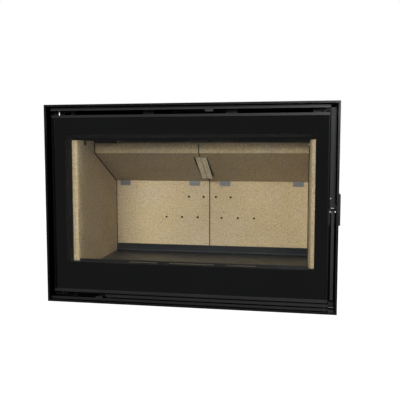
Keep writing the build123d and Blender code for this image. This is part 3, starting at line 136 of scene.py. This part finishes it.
# Paints: dark colour, light colour, roughness, and shine where it isn't the usual one
PAINTS = {
    "frame_paint": ((0.0030, 0.0030, 0.0032), (0.0045, 0.0045, 0.0048), 0.30),
    "door_paint": ((0.0030, 0.0030, 0.0032), (0.0045, 0.0045, 0.0048), 0.40, 0.25),
    "black_paint": ((0.0120, 0.0123, 0.0130), (0.0160, 0.0165, 0.0175), 0.46),
    # Outlet bar: the black paint made lighter, as painted light where the lip shades the bar
    "bar_paint": ((0.0190, 0.0195, 0.0205), (0.0250, 0.0257, 0.0270), 0.40),
    # Louvres: the black paint made a little darker, as painted shade
    "louvre_paint": ((0.0100, 0.0103, 0.0109), (0.0134, 0.0138, 0.0147), 0.46),
    # Side channel: the black paint made darker, as painted shade
    "channel_paint": ((0.0060, 0.0061, 0.0065), (0.0082, 0.0084, 0.0090), 0.46, 0.38),
    "inner_black": ((0.0030, 0.0030, 0.0030), (0.0045, 0.0045, 0.0045), 0.60, 0.25),
    "guard_black": ((0.0042, 0.0043, 0.0046), (0.0060, 0.0062, 0.0066), 0.55, 0.35),
    "hook_steel": ((0.042, 0.041, 0.039), (0.077, 0.074, 0.071), 0.40),
    "firebox_steel": ((0.0060, 0.0058, 0.0055), (0.0095, 0.0090, 0.0085), 0.66),
    "bracket_steel": ((0.155, 0.150, 0.150), (0.205, 0.200, 0.200), 0.50),
    "duct_steel": ((0.013, 0.013, 0.0135), (0.020, 0.020, 0.021), 0.55),
    # Painted highlights: light strips and near-white domes for light caught on edges and heads
    "highlight_edge": ((0.42, 0.42, 0.43), (0.52, 0.52, 0.53), 0.35),
    "foot_highlight": ((0.17, 0.17, 0.175), (0.22, 0.22, 0.225), 0.40),
    "highlight_white": ((0.78, 0.78, 0.78), (0.86, 0.86, 0.86), 0.40),
}

# Bare metals: dark colour, light colour and roughness
METALS = {
    "zinc": ((0.55, 0.56, 0.57), (0.75, 0.76, 0.77), 0.28),
    "bearing_bronze": ((0.030, 0.023, 0.015), (0.045, 0.035, 0.023), 0.45),
}

# Nodes that don't wear the material of their own slot
OWN_MATERIAL = {
    "front_frame": "frame_paint",
    "door_frame": "door_paint",
    "side_channel": "channel_paint",
    "outlet_bar": "bar_paint",
    "firebox_front": "inner_black",
    "casing_base": "inner_black",
    "log_guard": "guard_black",
    "smoke_deflector": "inner_black",
    "lower_louvre": "louvre_paint",
    "upper_louvre": "louvre_paint",
    "louvre_posts": "louvre_paint",
    "hinge_brackets": "inner_black",
    "slide_rail": "inner_black",
    "air_manifold": "inner_black",
    "board_hooks": "hook_steel",
    "back_board_left": "back_board",
    "back_board_right": "back_board",
    "baffle_left": "baffle_board",
    "baffle_right": "baffle_board",
    "baffle_key": "key_board",
}

# Studio
FLOOR_SIZE = 60.0
FLOOR_DROP = 0.0008          # how far it lies below the object
FLOOR_TONE = 0.18            # its grey as a surface, which throws a little light on the object
FLOOR_GLOW = 1.1             # its brightness straight from the camera
FLOOR_GLOSS = 0.13           # its brightness in glass and metal
AMBIENT = 0.16               # grey that lights the object from all sides
FRONT_GLOSS = 0.13           # grey that glass and metal mirror from the front
BACKDROP_START = -0.15       # Y of the direction where what they mirror starts to turn white
BACKDROP_FULL = 0.25         # Y of the direction where it is white

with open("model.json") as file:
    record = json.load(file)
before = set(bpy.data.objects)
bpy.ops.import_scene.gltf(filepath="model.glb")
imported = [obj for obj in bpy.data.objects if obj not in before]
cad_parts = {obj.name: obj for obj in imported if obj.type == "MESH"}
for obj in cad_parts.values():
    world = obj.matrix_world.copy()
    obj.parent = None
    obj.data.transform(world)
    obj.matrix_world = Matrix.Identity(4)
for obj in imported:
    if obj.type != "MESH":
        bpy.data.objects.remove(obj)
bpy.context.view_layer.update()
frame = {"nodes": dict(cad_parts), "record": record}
nodes = frame["nodes"]


# ---------------------------------------------------------------- material helpers
def new_material(name):
    """A node material, its node tree and its Principled shader."""
    material = bpy.data.materials.new(name)
    material.use_nodes = True
    tree = material.node_tree
    shader = tree.nodes["Principled BSDF"]
    return material, tree, shader


def add(tree, kind, **settings):
    """A new shader node with its settings."""
    node = tree.nodes.new("ShaderNode" + kind)
    for key, value in settings.items():
        setattr(node, key, value)
    return node


def object_place(tree):
    """The place on the object in metres: nodes keep their places in their meshes."""
    return add(tree, "TexCoord").outputs["Object"]


def axes(tree, place):
    """The X, Y and Z of a place, as sockets by name."""
    split = add(tree, "SeparateXYZ")
    tree.links.new(place, split.inputs["Vector"])
    return split.outputs


def stretched(tree, place, scale):
    """The place multiplied along X, Y and Z."""
    mapping = add(tree, "Mapping")
    mapping.inputs["Scale"].default_value = scale
    tree.links.new(place, mapping.inputs["Vector"])
    return mapping.outputs["Vector"]


def noise(tree, place, scale, detail, roughness=0.55):
    """Smooth random values, finer with a larger scale."""
    node = add(tree, "TexNoise")
    node.inputs["Scale"].default_value = scale
    node.inputs["Detail"].default_value = detail
    node.inputs["Roughness"].default_value = roughness
    tree.links.new(place, node.inputs["Vector"])
    return node.outputs["Fac"]


def noise_colour(tree, place, scale):
    """Smooth random colours."""
    node = add(tree, "TexNoise")
    node.inputs["Scale"].default_value = scale
    tree.links.new(place, node.inputs["Vector"])
    return node.outputs["Color"]


def cells(tree, place, scale):
    """Cells scattered evenly, each with its own colour and the distance from its middle."""
    node = add(tree, "TexVoronoi", feature="F1")
    node.inputs["Scale"].default_value = scale
    tree.links.new(place, node.inputs["Vector"])
    return node.outputs


def ramp(tree, value, stops):
    """Value turned into a colour by (position, colour) stops."""
    node = add(tree, "ValToRGB")
    elements = node.color_ramp.elements
    while len(elements) < len(stops):
        elements.new(0.5)
    for element, (position, colour) in zip(elements, stops):
        element.position = position
        element.color = (*colour, 1.0)
    tree.links.new(value, node.inputs["Fac"])
    return node.outputs["Color"]


def between(tree, value, low, high, out_low, out_high):
    """Value mapped from one range to another."""
    node = add(tree, "MapRange")
    node.inputs["From Min"].default_value = low
    node.inputs["From Max"].default_value = high
    node.inputs["To Min"].default_value = out_low
    node.inputs["To Max"].default_value = out_high
    tree.links.new(value, node.inputs["Value"])
    return node.outputs["Result"]


def clouded(tree, value, dark, light):
    """A colour that follows noise from dark to light."""
    return ramp(tree, value, [(NOISE_LOW, dark), (NOISE_HIGH, light)])


def uneven(tree, value, low, high):
    """A number that follows noise from low to high."""
    return between(tree, value, NOISE_LOW, NOISE_HIGH, low, high)


def mixed(tree, factor, first, second, blend="MIX"):
    """Two colours mixed by a factor, which is a number or a socket."""
    node = add(tree, "Mix", data_type="RGBA", blend_type=blend)
    for socket, value in ((node.inputs[0], factor), (node.inputs[6], first), (node.inputs[7], second)):
        if isinstance(value, bpy.types.NodeSocket):
            tree.links.new(value, socket)
        elif isinstance(value, (int, float)):
            socket.default_value = value
        else:
            socket.default_value = (*value, 1.0)
    return node.outputs[2]


def combined(tree, operation, *values):
    """One or two values, each a number or a socket, through one Math node."""
    node = add(tree, "Math", operation=operation)
    for socket, value in zip(node.inputs, values):
        if isinstance(value, bpy.types.NodeSocket):
            tree.links.new(value, socket)
        else:
            socket.default_value = value
    return node.outputs[0]


def window(tree, value, low, high):
    """1 between two limits and 0 outside them, with a narrow soft edge."""
    rising = between(tree, value, low, low + MASK_EDGE, 0.0, 1.0)
    falling = between(tree, value, high - MASK_EDGE, high, 1.0, 0.0)
    return combined(tree, "MULTIPLY", rising, falling)


def bump(tree, shader, height, distance, strength=1.0):
    """Fine relief in the shading."""
    node = add(tree, "Bump")
    node.inputs["Distance"].default_value = distance
    node.inputs["Strength"].default_value = strength
    tree.links.new(height, node.inputs["Height"])
    tree.links.new(node.outputs["Normal"], shader.inputs["Normal"])


# ---------------------------------------------------------------- materials
def paint(name, dark, light, roughness, shine=SHINE, inside=None):
    """Baked-on stove paint: slight cloudiness in colour and gloss over a fine sprayed grain.

    Inside is the range of depths in which shade is painted on it in dull black, as in a louvre's folds.
    """
    material, tree, shader = new_material(name)
    place = object_place(tree)
    colour = clouded(tree, noise(tree, place, scale=7.0, detail=4.0), dark, light)
    if inside is None:
        shader.inputs["Specular IOR Level"].default_value = shine
    else:
        # Painted shade: dull black at these depths
        in_shade = window(tree, axes(tree, place)["Y"], *inside)
        colour = mixed(tree, in_shade, colour, SHADE_BLACK)
        shine_by_depth = between(tree, in_shade, 0.0, 1.0, shine, INSIDE_SHINE)
        tree.links.new(shine_by_depth, shader.inputs["Specular IOR Level"])
    tree.links.new(colour, shader.inputs["Base Color"])
    gloss = uneven(tree, noise(tree, place, scale=23.0, detail=3.0),
                   roughness - GLOSS_SPREAD, roughness + GLOSS_SPREAD)
    tree.links.new(gloss, shader.inputs["Roughness"])
    bump(tree, shader, noise(tree, place, scale=900.0, detail=2.0), distance=0.00004)
    return material


def board(name, dark, light, shade_places, painted_tones=None):
    """Pressed mica board: sandy beige with fine dark and rusty flecks, and a dusty, pitted skin.

    The shade places list where shade is painted dark brown in joints, holes and the key pocket, as the
    limits of the distance from the middle plane and of the depth. Where a gradient is given, light and
    shade are painted on it, lighter or darker at the chamber's left, middle and right.
    """
    material, tree, shader = new_material(name)
    place = object_place(tree)
    along = axes(tree, place)
    base = ramp(tree, noise(tree, place, scale=5.0, detail=4.0), [(0.25, dark), (0.75, light)])
    grey = ramp(tree, noise(tree, place, scale=9.0, detail=3.0),
                [(0.45, BLACK), (0.75, (0.45, 0.45, 0.45))])
    base = mixed(tree, grey, base, BOARD_GREY)
    chips = ramp(tree, noise(tree, place, scale=190.0, detail=2.0, roughness=0.6),
                 [(0.34, CHIP_DARK), (0.66, CHIP_LIGHT)])
    base = mixed(tree, 1.0, base, chips, "MULTIPLY")
    grains = ramp(tree, noise(tree, place, scale=520.0, detail=2.0, roughness=0.7),
                  [(0.36, GRAIN_DARK), (0.62, GRAIN_LIGHT)])
    base = mixed(tree, 1.0, base, grains, "MULTIPLY")
    flecks = ramp(tree, cells(tree, place, scale=130.0)["Distance"],
                  [(0.12, (0.7, 0.7, 0.7)), (0.28, BLACK)])
    rare = ramp(tree, noise(tree, place, scale=60.0, detail=1.0), [(0.50, BLACK), (0.58, WHITE)])
    base = mixed(tree, mixed(tree, 1.0, flecks, rare, "MULTIPLY"), base, FLECK)
    # Painted light and shade: lighter or darker across the chamber
    if painted_tones is not None:
        left, middle, right = ((painted_tone,) * 3 for painted_tone in painted_tones)
        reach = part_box("back_board_right")[1].x
        across = between(tree, along["X"], -reach, reach, 0.0, 1.0)
        painted_tone = ramp(tree, across, [(0.0, left), (0.5, middle), (1.0, right)])
        base = mixed(tree, 1.0, base, painted_tone, "MULTIPLY")
    aside = combined(tree, "ABSOLUTE", along["X"])
    # Painted shade: dark brown in joints, holes and around the key
    for aside_limits, depth_limits in shade_places:
        painted_shade = combined(tree, "MULTIPLY", window(tree, aside, *aside_limits),
                        window(tree, along["Y"], *depth_limits))
        base = mixed(tree, painted_shade, base, SHADE_BROWN)
    tree.links.new(base, shader.inputs["Base Color"])
    shader.inputs["Roughness"].default_value = 0.88
    shader.inputs["Specular IOR Level"].default_value = 0.25
    pits = noise(tree, place, scale=430.0, detail=3.0, roughness=0.7)
    bump(tree, shader, pits, distance=0.0006, strength=0.6)
    return material


def plate():
    """Dark steel plate with a faint rolled streak, smooth enough to pick up the boards."""
    material, tree, shader = new_material("hearth_steel")
    place = object_place(tree)
    along = axes(tree, place)
    streaks = noise(tree, stretched(tree, place, (2.0, 60.0, 60.0)), scale=4.0, detail=3.0)
    colour = clouded(tree, streaks, HEARTH_DARK, HEARTH_LIGHT)
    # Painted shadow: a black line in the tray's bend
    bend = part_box("back_board_right")[0].y - TRAY_BEND
    bend_shadow = window(tree, along["Y"], bend - TRAY_BEND_FRONT, bend + TRAY_BEND_BACK)
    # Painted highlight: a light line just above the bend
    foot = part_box("hearth_tray")[0].z
    bend_highlight = window(tree, along["Z"], foot + TRAY_BEND_FOOT, foot + TRAY_BEND_TOP)
    colour = mixed(tree, bend_highlight, colour, BEND_HIGHLIGHT)
    tree.links.new(mixed(tree, bend_shadow, colour, SHADE_BLACK), shader.inputs["Base Color"])
    tree.links.new(between(tree, bend_shadow, 0.0, 1.0, SHINE, 0.0), shader.inputs["Specular IOR Level"])
    gloss = uneven(tree, noise(tree, place, scale=30.0, detail=4.0), 0.34, 0.44)
    tree.links.new(gloss, shader.inputs["Roughness"])
    bump(tree, shader, noise(tree, place, scale=300.0, detail=2.0), distance=0.00005)
    return material


def zinc_sheet():
    """Hot-dipped sheet: crystal patches about a centimetre wide that differ in brightness and gloss."""
    material, tree, shader = new_material("casing_steel")
    place = object_place(tree)
    bent = mixed(tree, 0.12, place, noise_colour(tree, place, scale=40.0))
    crystals = cells(tree, bent, scale=75.0)["Color"]
    shade = ramp(tree, crystals, [(0.1, (0.30, 0.31, 0.32)), (0.9, (0.46, 0.47, 0.48))])
    cloud = clouded(tree, noise(tree, place, scale=4.0, detail=4.0), (0.86, 0.86, 0.86), WHITE)
    tree.links.new(mixed(tree, 1.0, shade, cloud, "MULTIPLY"), shader.inputs["Base Color"])
    tree.links.new(between(tree, crystals, 0.0, 1.0, 0.38, 0.52), shader.inputs["Roughness"])
    shader.inputs["Metallic"].default_value = 0.85
    bump(tree, shader, noise(tree, place, scale=200.0, detail=2.0), distance=0.00005)
    return material


def bare_metal(name, dark, light, roughness):
    """Plain metal with a fine unevenness in colour and gloss."""
    material, tree, shader = new_material(name)
    grain = noise(tree, object_place(tree), scale=300.0, detail=3.0)
    tree.links.new(clouded(tree, grain, dark, light), shader.inputs["Base Color"])
    tree.links.new(uneven(tree, grain, roughness - 0.05, roughness + 0.08), shader.inputs["Roughness"])
    shader.inputs["Metallic"].default_value = 1.0
    bump(tree, shader, grain, distance=0.00002)
    return material


def rope():
    """Plaited glass-fibre rope: slanting strands over a dark grey body."""
    material, tree, shader = new_material("rope_seal")
    wave = add(tree, "TexWave", wave_type="BANDS", bands_direction="DIAGONAL")
    wave.inputs["Scale"].default_value = 90.0
    wave.inputs["Distortion"].default_value = 1.5
    tree.links.new(object_place(tree), wave.inputs["Vector"])
    strands = wave.outputs["Fac"]
    colour = ramp(tree, strands, [(0.2, (0.020, 0.020, 0.020)), (0.8, (0.075, 0.073, 0.070))])
    tree.links.new(colour, shader.inputs["Base Color"])
    shader.inputs["Roughness"].default_value = 0.95
    bump(tree, shader, strands, distance=0.0008)
    return material


def clear_glass():
    """Clear ceramic glass. Light from the lamps passes straight through it to the boards."""
    material, tree, shader = new_material("door_glass")
    shader.inputs["Base Color"].default_value = (0.94, 0.95, 0.94, 1.0)
    shader.inputs["Roughness"].default_value = 0.0
    shader.inputs["IOR"].default_value = 1.45
    shader.inputs["Transmission Weight"].default_value = 1.0
    through = add(tree, "BsdfTransparent")
    through.inputs["Color"].default_value = (0.9, 0.91, 0.9, 1.0)
    mix = add(tree, "MixShader")
    path = add(tree, "LightPath")
    tree.links.new(path.outputs["Is Shadow Ray"], mix.inputs["Fac"])
    tree.links.new(shader.outputs["BSDF"], mix.inputs[1])
    tree.links.new(through.outputs["BSDF"], mix.inputs[2])
    tree.links.new(mix.outputs["Shader"], tree.nodes["Material Output"].inputs["Surface"])
    return material


def print_enamel():
    """Black enamel printed on the glass: smooth, with the least unevenness in its gloss."""
    material, tree, shader = new_material("glass_print")
    place = object_place(tree)
    colour = clouded(tree, noise(tree, place, scale=3.0, detail=2.0), ENAMEL_DARK, ENAMEL_LIGHT)
    tree.links.new(colour, shader.inputs["Base Color"])
    gloss = uneven(tree, noise(tree, place, scale=12.0, detail=2.0), 0.05, 0.09)
    tree.links.new(gloss, shader.inputs["Roughness"])
    return material


# ---------------------------------------------------------------- where shade is painted
def shade_depths():
    """The range of depths in which shade is painted black on each folded paint."""
    return {"frame_paint": (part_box("front_frame")[0].y + FRAME_UNSHADED, FAR),
            "door_paint": (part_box("door_glass")[1].y, FAR),
            "louvre_paint": (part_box("lower_louvre")[0].y + FOLD_UNSHADED, FAR),
            "channel_paint": (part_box("side_channel")[0].y + FOLD_UNSHADED, CHANNEL_SHADE_END)}


def board_shade_places():
    """Painted shade in each board's joints, holes and key pocket: limits of the distance aside and of
    the depth.
    """
    anywhere = (-FAR, FAR)
    back_low, back_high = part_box("back_board_right")
    side_low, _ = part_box("side_board_right")
    key_low, key_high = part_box("baffle_key")
    seam = ((-FAR, SEAM_SHADE), anywhere)
    holes = (anywhere, (back_low.y + HOLE_UNSHADED, FAR))
    groove = ((back_high.x + GROOVE_SHADE_START, FAR), (side_low.y + GROOVE_UNSHADED_FRONT, FAR))
    corner = ((back_high.x - JOINT_LINE, FAR), (back_low.y - JOINT_LINE, FAR))
    baffle_ends = ((back_high.x - JOINT_LINE, FAR), anywhere)
    pocket_start = key_low.y - KEY_JOINT
    pocket_sides = ((key_high.x, key_high.x + KEY_JOINT), (pocket_start, key_high.y + KEY_JOINT))
    pocket_front = ((-FAR, key_high.x + KEY_JOINT), (pocket_start, key_low.y))
    key_seam = ((-FAR, SEAM_SHADE / 2), anywhere)
    key_sides = ((key_high.x - KEY_RIM, FAR), anywhere)
    key_front = (anywhere, (-FAR, key_low.y + KEY_RIM))
    lining = [seam, holes, groove, corner]
    return {"lining_board": lining,
            "back_board": lining,
            "baffle_board": [seam, pocket_sides, pocket_front, baffle_ends],
            "key_board": [key_seam, key_sides, key_front]}


# ---------------------------------------------------------------- dressing the solids
def build_materials():
    """Every material by its name."""
    inside = shade_depths()
    materials = {name: paint(name, *look, inside=inside.get(name)) for name, look in PAINTS.items()}
    for name, look in METALS.items():
        materials[name] = bare_metal(name, *look)
    for name, shade_places in board_shade_places().items():
        # The key gets the paler colours, as painted light
        dark, light = (LIT_KEY_DARK, LIT_KEY_LIGHT) if name == "key_board" else (BOARD_DARK, BOARD_LIGHT)
        materials[name] = board(name, dark, light, shade_places, LIGHT_AND_SHADE_TONES.get(name))
    materials["hearth_steel"] = plate()
    materials["casing_steel"] = zinc_sheet()
    materials["door_glass"] = clear_glass()
    materials["rope_seal"] = rope()
    materials["glass_print"] = print_enamel()
    return materials


MATERIALS = build_materials()


def dress_nodes():
    """Each node in its own material, or in the one of its slot."""
    slot_of = {part["node"]: part["material_slot"] for part in frame["record"]["subparts"]}
    for name, node in nodes.items():
        material = MATERIALS[OWN_MATERIAL.get(name, slot_of[name])]
        for index in range(len(node.data.materials)):
            node.data.materials[index] = material


# ---------------------------------------------------------------- print on the glass
def ring_mesh(name, outer, inner, front, back):
    """Flat upright ring between outer and inner (left, right, bottom, top) limits."""
    mesh = bmesh.new()
    loops = []
    for left, right, bottom, top in (outer, inner):
        for y in (front, back):
            corners = ((left, bottom), (right, bottom), (right, top), (left, top))
            loops.append([mesh.verts.new((x, y, z)) for x, z in corners])
    outer_front, outer_back, inner_front, inner_back = loops
    for i in range(4):
        j = (i + 1) % 4
        mesh.faces.new((outer_front[i], outer_front[j], inner_front[j], inner_front[i]))
        mesh.faces.new((outer_back[j], outer_back[i], inner_back[i], inner_back[j]))
        mesh.faces.new((outer_front[j], outer_front[i], outer_back[i], outer_back[j]))
        mesh.faces.new((inner_front[i], inner_front[j], inner_back[j], inner_back[i]))
    bmesh.ops.recalc_face_normals(mesh, faces=mesh.faces)
    data = bpy.data.meshes.new(name)
    mesh.to_mesh(data)
    mesh.free()
    piece = bpy.data.objects.new(name, data)
    bpy.context.scene.collection.objects.link(piece)
    return piece


def print_glass():
    """The black border on the front of the glass."""
    low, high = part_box("door_glass")
    outer = (low.x + PRINT_EDGE, high.x - PRINT_EDGE, low.z + PRINT_EDGE, high.z - PRINT_EDGE)
    inner = (VIEW_LEFT, VIEW_RIGHT, VIEW_BOTTOM, VIEW_TOP)
    piece = ring_mesh("glass_print", outer, inner, low.y - PRINT_RAISE, low.y + PRINT_RAISE)
    piece.data.materials.append(MATERIALS["glass_print"])
    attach(piece, "door")


# ---------------------------------------------------------------- painted highlights
def strip(name, low, high, material, body):
    """A thin light strip between two corners: a painted highlight on an edge."""
    bpy.ops.mesh.primitive_cube_add(size=1.0)
    piece = bpy.context.object
    piece.name = name
    piece.data.transform(Matrix.Translation((Vector(low) + Vector(high)) / 2)
                         @ Matrix.Diagonal((*(Vector(high) - Vector(low)), 1.0)))
    piece.data.materials.append(MATERIALS[material])
    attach(piece, body)


def dome(name, place, half_sizes, material, body):
    """A low rounded head."""
    bpy.ops.mesh.primitive_uv_sphere_add(segments=32, ring_count=16, radius=1.0)
    piece = bpy.context.object
    piece.name = name
    piece.data.transform(Matrix.Translation(place) @ Matrix.Diagonal((*half_sizes, 1.0)))
    bpy.ops.object.shade_smooth()
    piece.data.materials.append(MATERIALS[material])
    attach(piece, body)


def add_details():
    """Painted highlights: near-white domes on the hook tip and pin head, light strips on two channel
    edges.
    """
    hook_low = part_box("board_hooks")[0]
    board_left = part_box("side_board_right")[0].x
    tip = (board_left - HOOK_TIP_OUT, hook_low.y, hook_low.z + HOOK_TIP_RISE)
    dome("hook_tip_right", tip, HOOK_TIP_HALF_SIZES, "highlight_white", "housing")

    left, face, channel_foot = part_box("side_channel")[0]
    proud = face - EDGE_RAISE
    pin_low, pin_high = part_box("lever_pin")
    pivot_height = (pin_low.z + pin_high.z) / 2
    strip("channel_notch_edge", (left + NOTCH_EDGE_START, proud, pivot_height + NOTCH_EDGE_FOOT),
          (left + NOTCH_EDGE_END, face, pivot_height + NOTCH_EDGE_TOP), "highlight_edge", "housing")
    strip("channel_foot_edge", (left, proud, channel_foot + FOOT_EDGE_FOOT),
          (pin_high.x, face, channel_foot + FOOT_EDGE_TOP), "foot_highlight", "housing")
    pin_end = Vector((pin_high.x, pin_low.y, pivot_height))
    dome("pivot_head", pin_end + PIVOT_HEAD_SHIFT, PIVOT_HEAD_HALF_SIZES, "highlight_white", "door")


# ---------------------------------------------------------------- studio
def seen_rays(tree):
    """1 for rays straight from the camera, and 1 for those mirrored or let through but not scattered."""
    path = add(tree, "LightPath").outputs
    bounced = combined(tree, "MAXIMUM", path["Is Glossy Ray"], path["Is Transmission Ray"])
    unscattered = combined(tree, "LESS_THAN", path["Diffuse Depth"], 0.5)
    return path["Is Camera Ray"], combined(tree, "MULTIPLY", bounced, unscattered)


def build_floor():
    """A floor that looks white and lights the object little."""
    bpy.ops.mesh.primitive_plane_add(size=FLOOR_SIZE, location=(0, 0, -FLOOR_DROP))
    floor = bpy.context.object
    floor.name = "floor"
    material, tree, shader = new_material("floor")
    shader.inputs["Base Color"].default_value = (FLOOR_TONE, FLOOR_TONE, FLOOR_TONE, 1.0)
    shader.inputs["Roughness"].default_value = 0.9
    shader.inputs["Specular IOR Level"].default_value = 0.0
    glow = add(tree, "Emission")
    camera_ray, mirrored_ray = seen_rays(tree)
    shown = combined(tree, "MAXIMUM", camera_ray, mirrored_ray)
    strength = between(tree, camera_ray, 0.0, 1.0, FLOOR_GLOSS, FLOOR_GLOW)
    tree.links.new(strength, glow.inputs["Strength"])
    choice = add(tree, "MixShader")
    tree.links.new(shown, choice.inputs["Fac"])
    tree.links.new(shader.outputs["BSDF"], choice.inputs[1])
    tree.links.new(glow.outputs["Emission"], choice.inputs[2])
    tree.links.new(choice.outputs["Shader"], tree.nodes["Material Output"].inputs["Surface"])
    floor.data.materials.append(material)


def build_world():
    """White behind the object, and a dark studio in front of it for its glossy surfaces."""
    world = bpy.data.worlds.new("studio")
    bpy.context.scene.world = world
    world.use_nodes = True
    tree = world.node_tree
    direction = add(tree, "TexCoord").outputs["Generated"]
    behind = between(tree, axes(tree, direction)["Y"], BACKDROP_START, BACKDROP_FULL, 0.0, 1.0)
    backdrop = mixed(tree, behind, (FRONT_GLOSS,) * 3, WHITE)
    camera_ray, mirrored_ray = seen_rays(tree)
    colour = mixed(tree, mirrored_ray, (AMBIENT,) * 3, backdrop)
    colour = mixed(tree, camera_ray, colour, WHITE)
    tree.links.new(colour, tree.nodes["Background"].inputs["Color"])


def area_light(name, place, target, width, height, energy, diffuse=True, glossy=True):
    """A rectangular lamp that faces its target."""
    lamp = bpy.data.lights.new(name, "AREA")
    lamp.shape = "RECTANGLE"
    lamp.size = width
    lamp.size_y = height
    lamp.energy = energy
    holder = bpy.data.objects.new(name, lamp)
    holder.location = place
    holder.rotation_euler = (Vector(target) - Vector(place)).to_track_quat("-Z", "Y").to_euler()
    holder.visible_diffuse = diffuse
    holder.visible_glossy = glossy
    holder.visible_transmission = False
    bpy.context.scene.collection.objects.link(holder)


def build_lights():
    """A large soft lamp in front, one for sheen only, one above and one behind."""
    area_light("front", place=(-1.3, -6.6, 2.45), target=(0.0, 0.0, 0.3),
               width=3.0, height=1.6, energy=520.0, glossy=False)
    area_light("sheen", place=(1.35, -3.2, 1.25), target=(0.1, 0.0, 0.4),
               width=1.0, height=1.0, energy=60.0, diffuse=False)
    area_light("top", place=(0.0, 0.2, 3.0), target=(0.0, 0.1, 0.3),
               width=2.2, height=2.2, energy=45.0)
    area_light("back", place=(-1.4, 2.8, 1.8), target=(0.0, 0.2, 0.3),
               width=2.0, height=1.6, energy=60.0)


def build_camera():
    """The camera of the main view."""
    data = bpy.data.cameras.new("camera")
    data.lens = CAMERA_LENS
    data.sensor_width = SENSOR
    camera = bpy.data.objects.new("camera", data)
    camera.location = CAMERA_PLACE
    camera.rotation_euler = (math.radians(90.0 - CAMERA_DIP), 0.0, math.radians(CAMERA_TURN))
    bpy.context.scene.collection.objects.link(camera)
    bpy.context.scene.camera = camera


dress_nodes()
print_glass()
add_details()
build_floor()
build_world()
build_lights()
build_camera()
bpy.context.scene.view_settings.view_transform = "Standard"
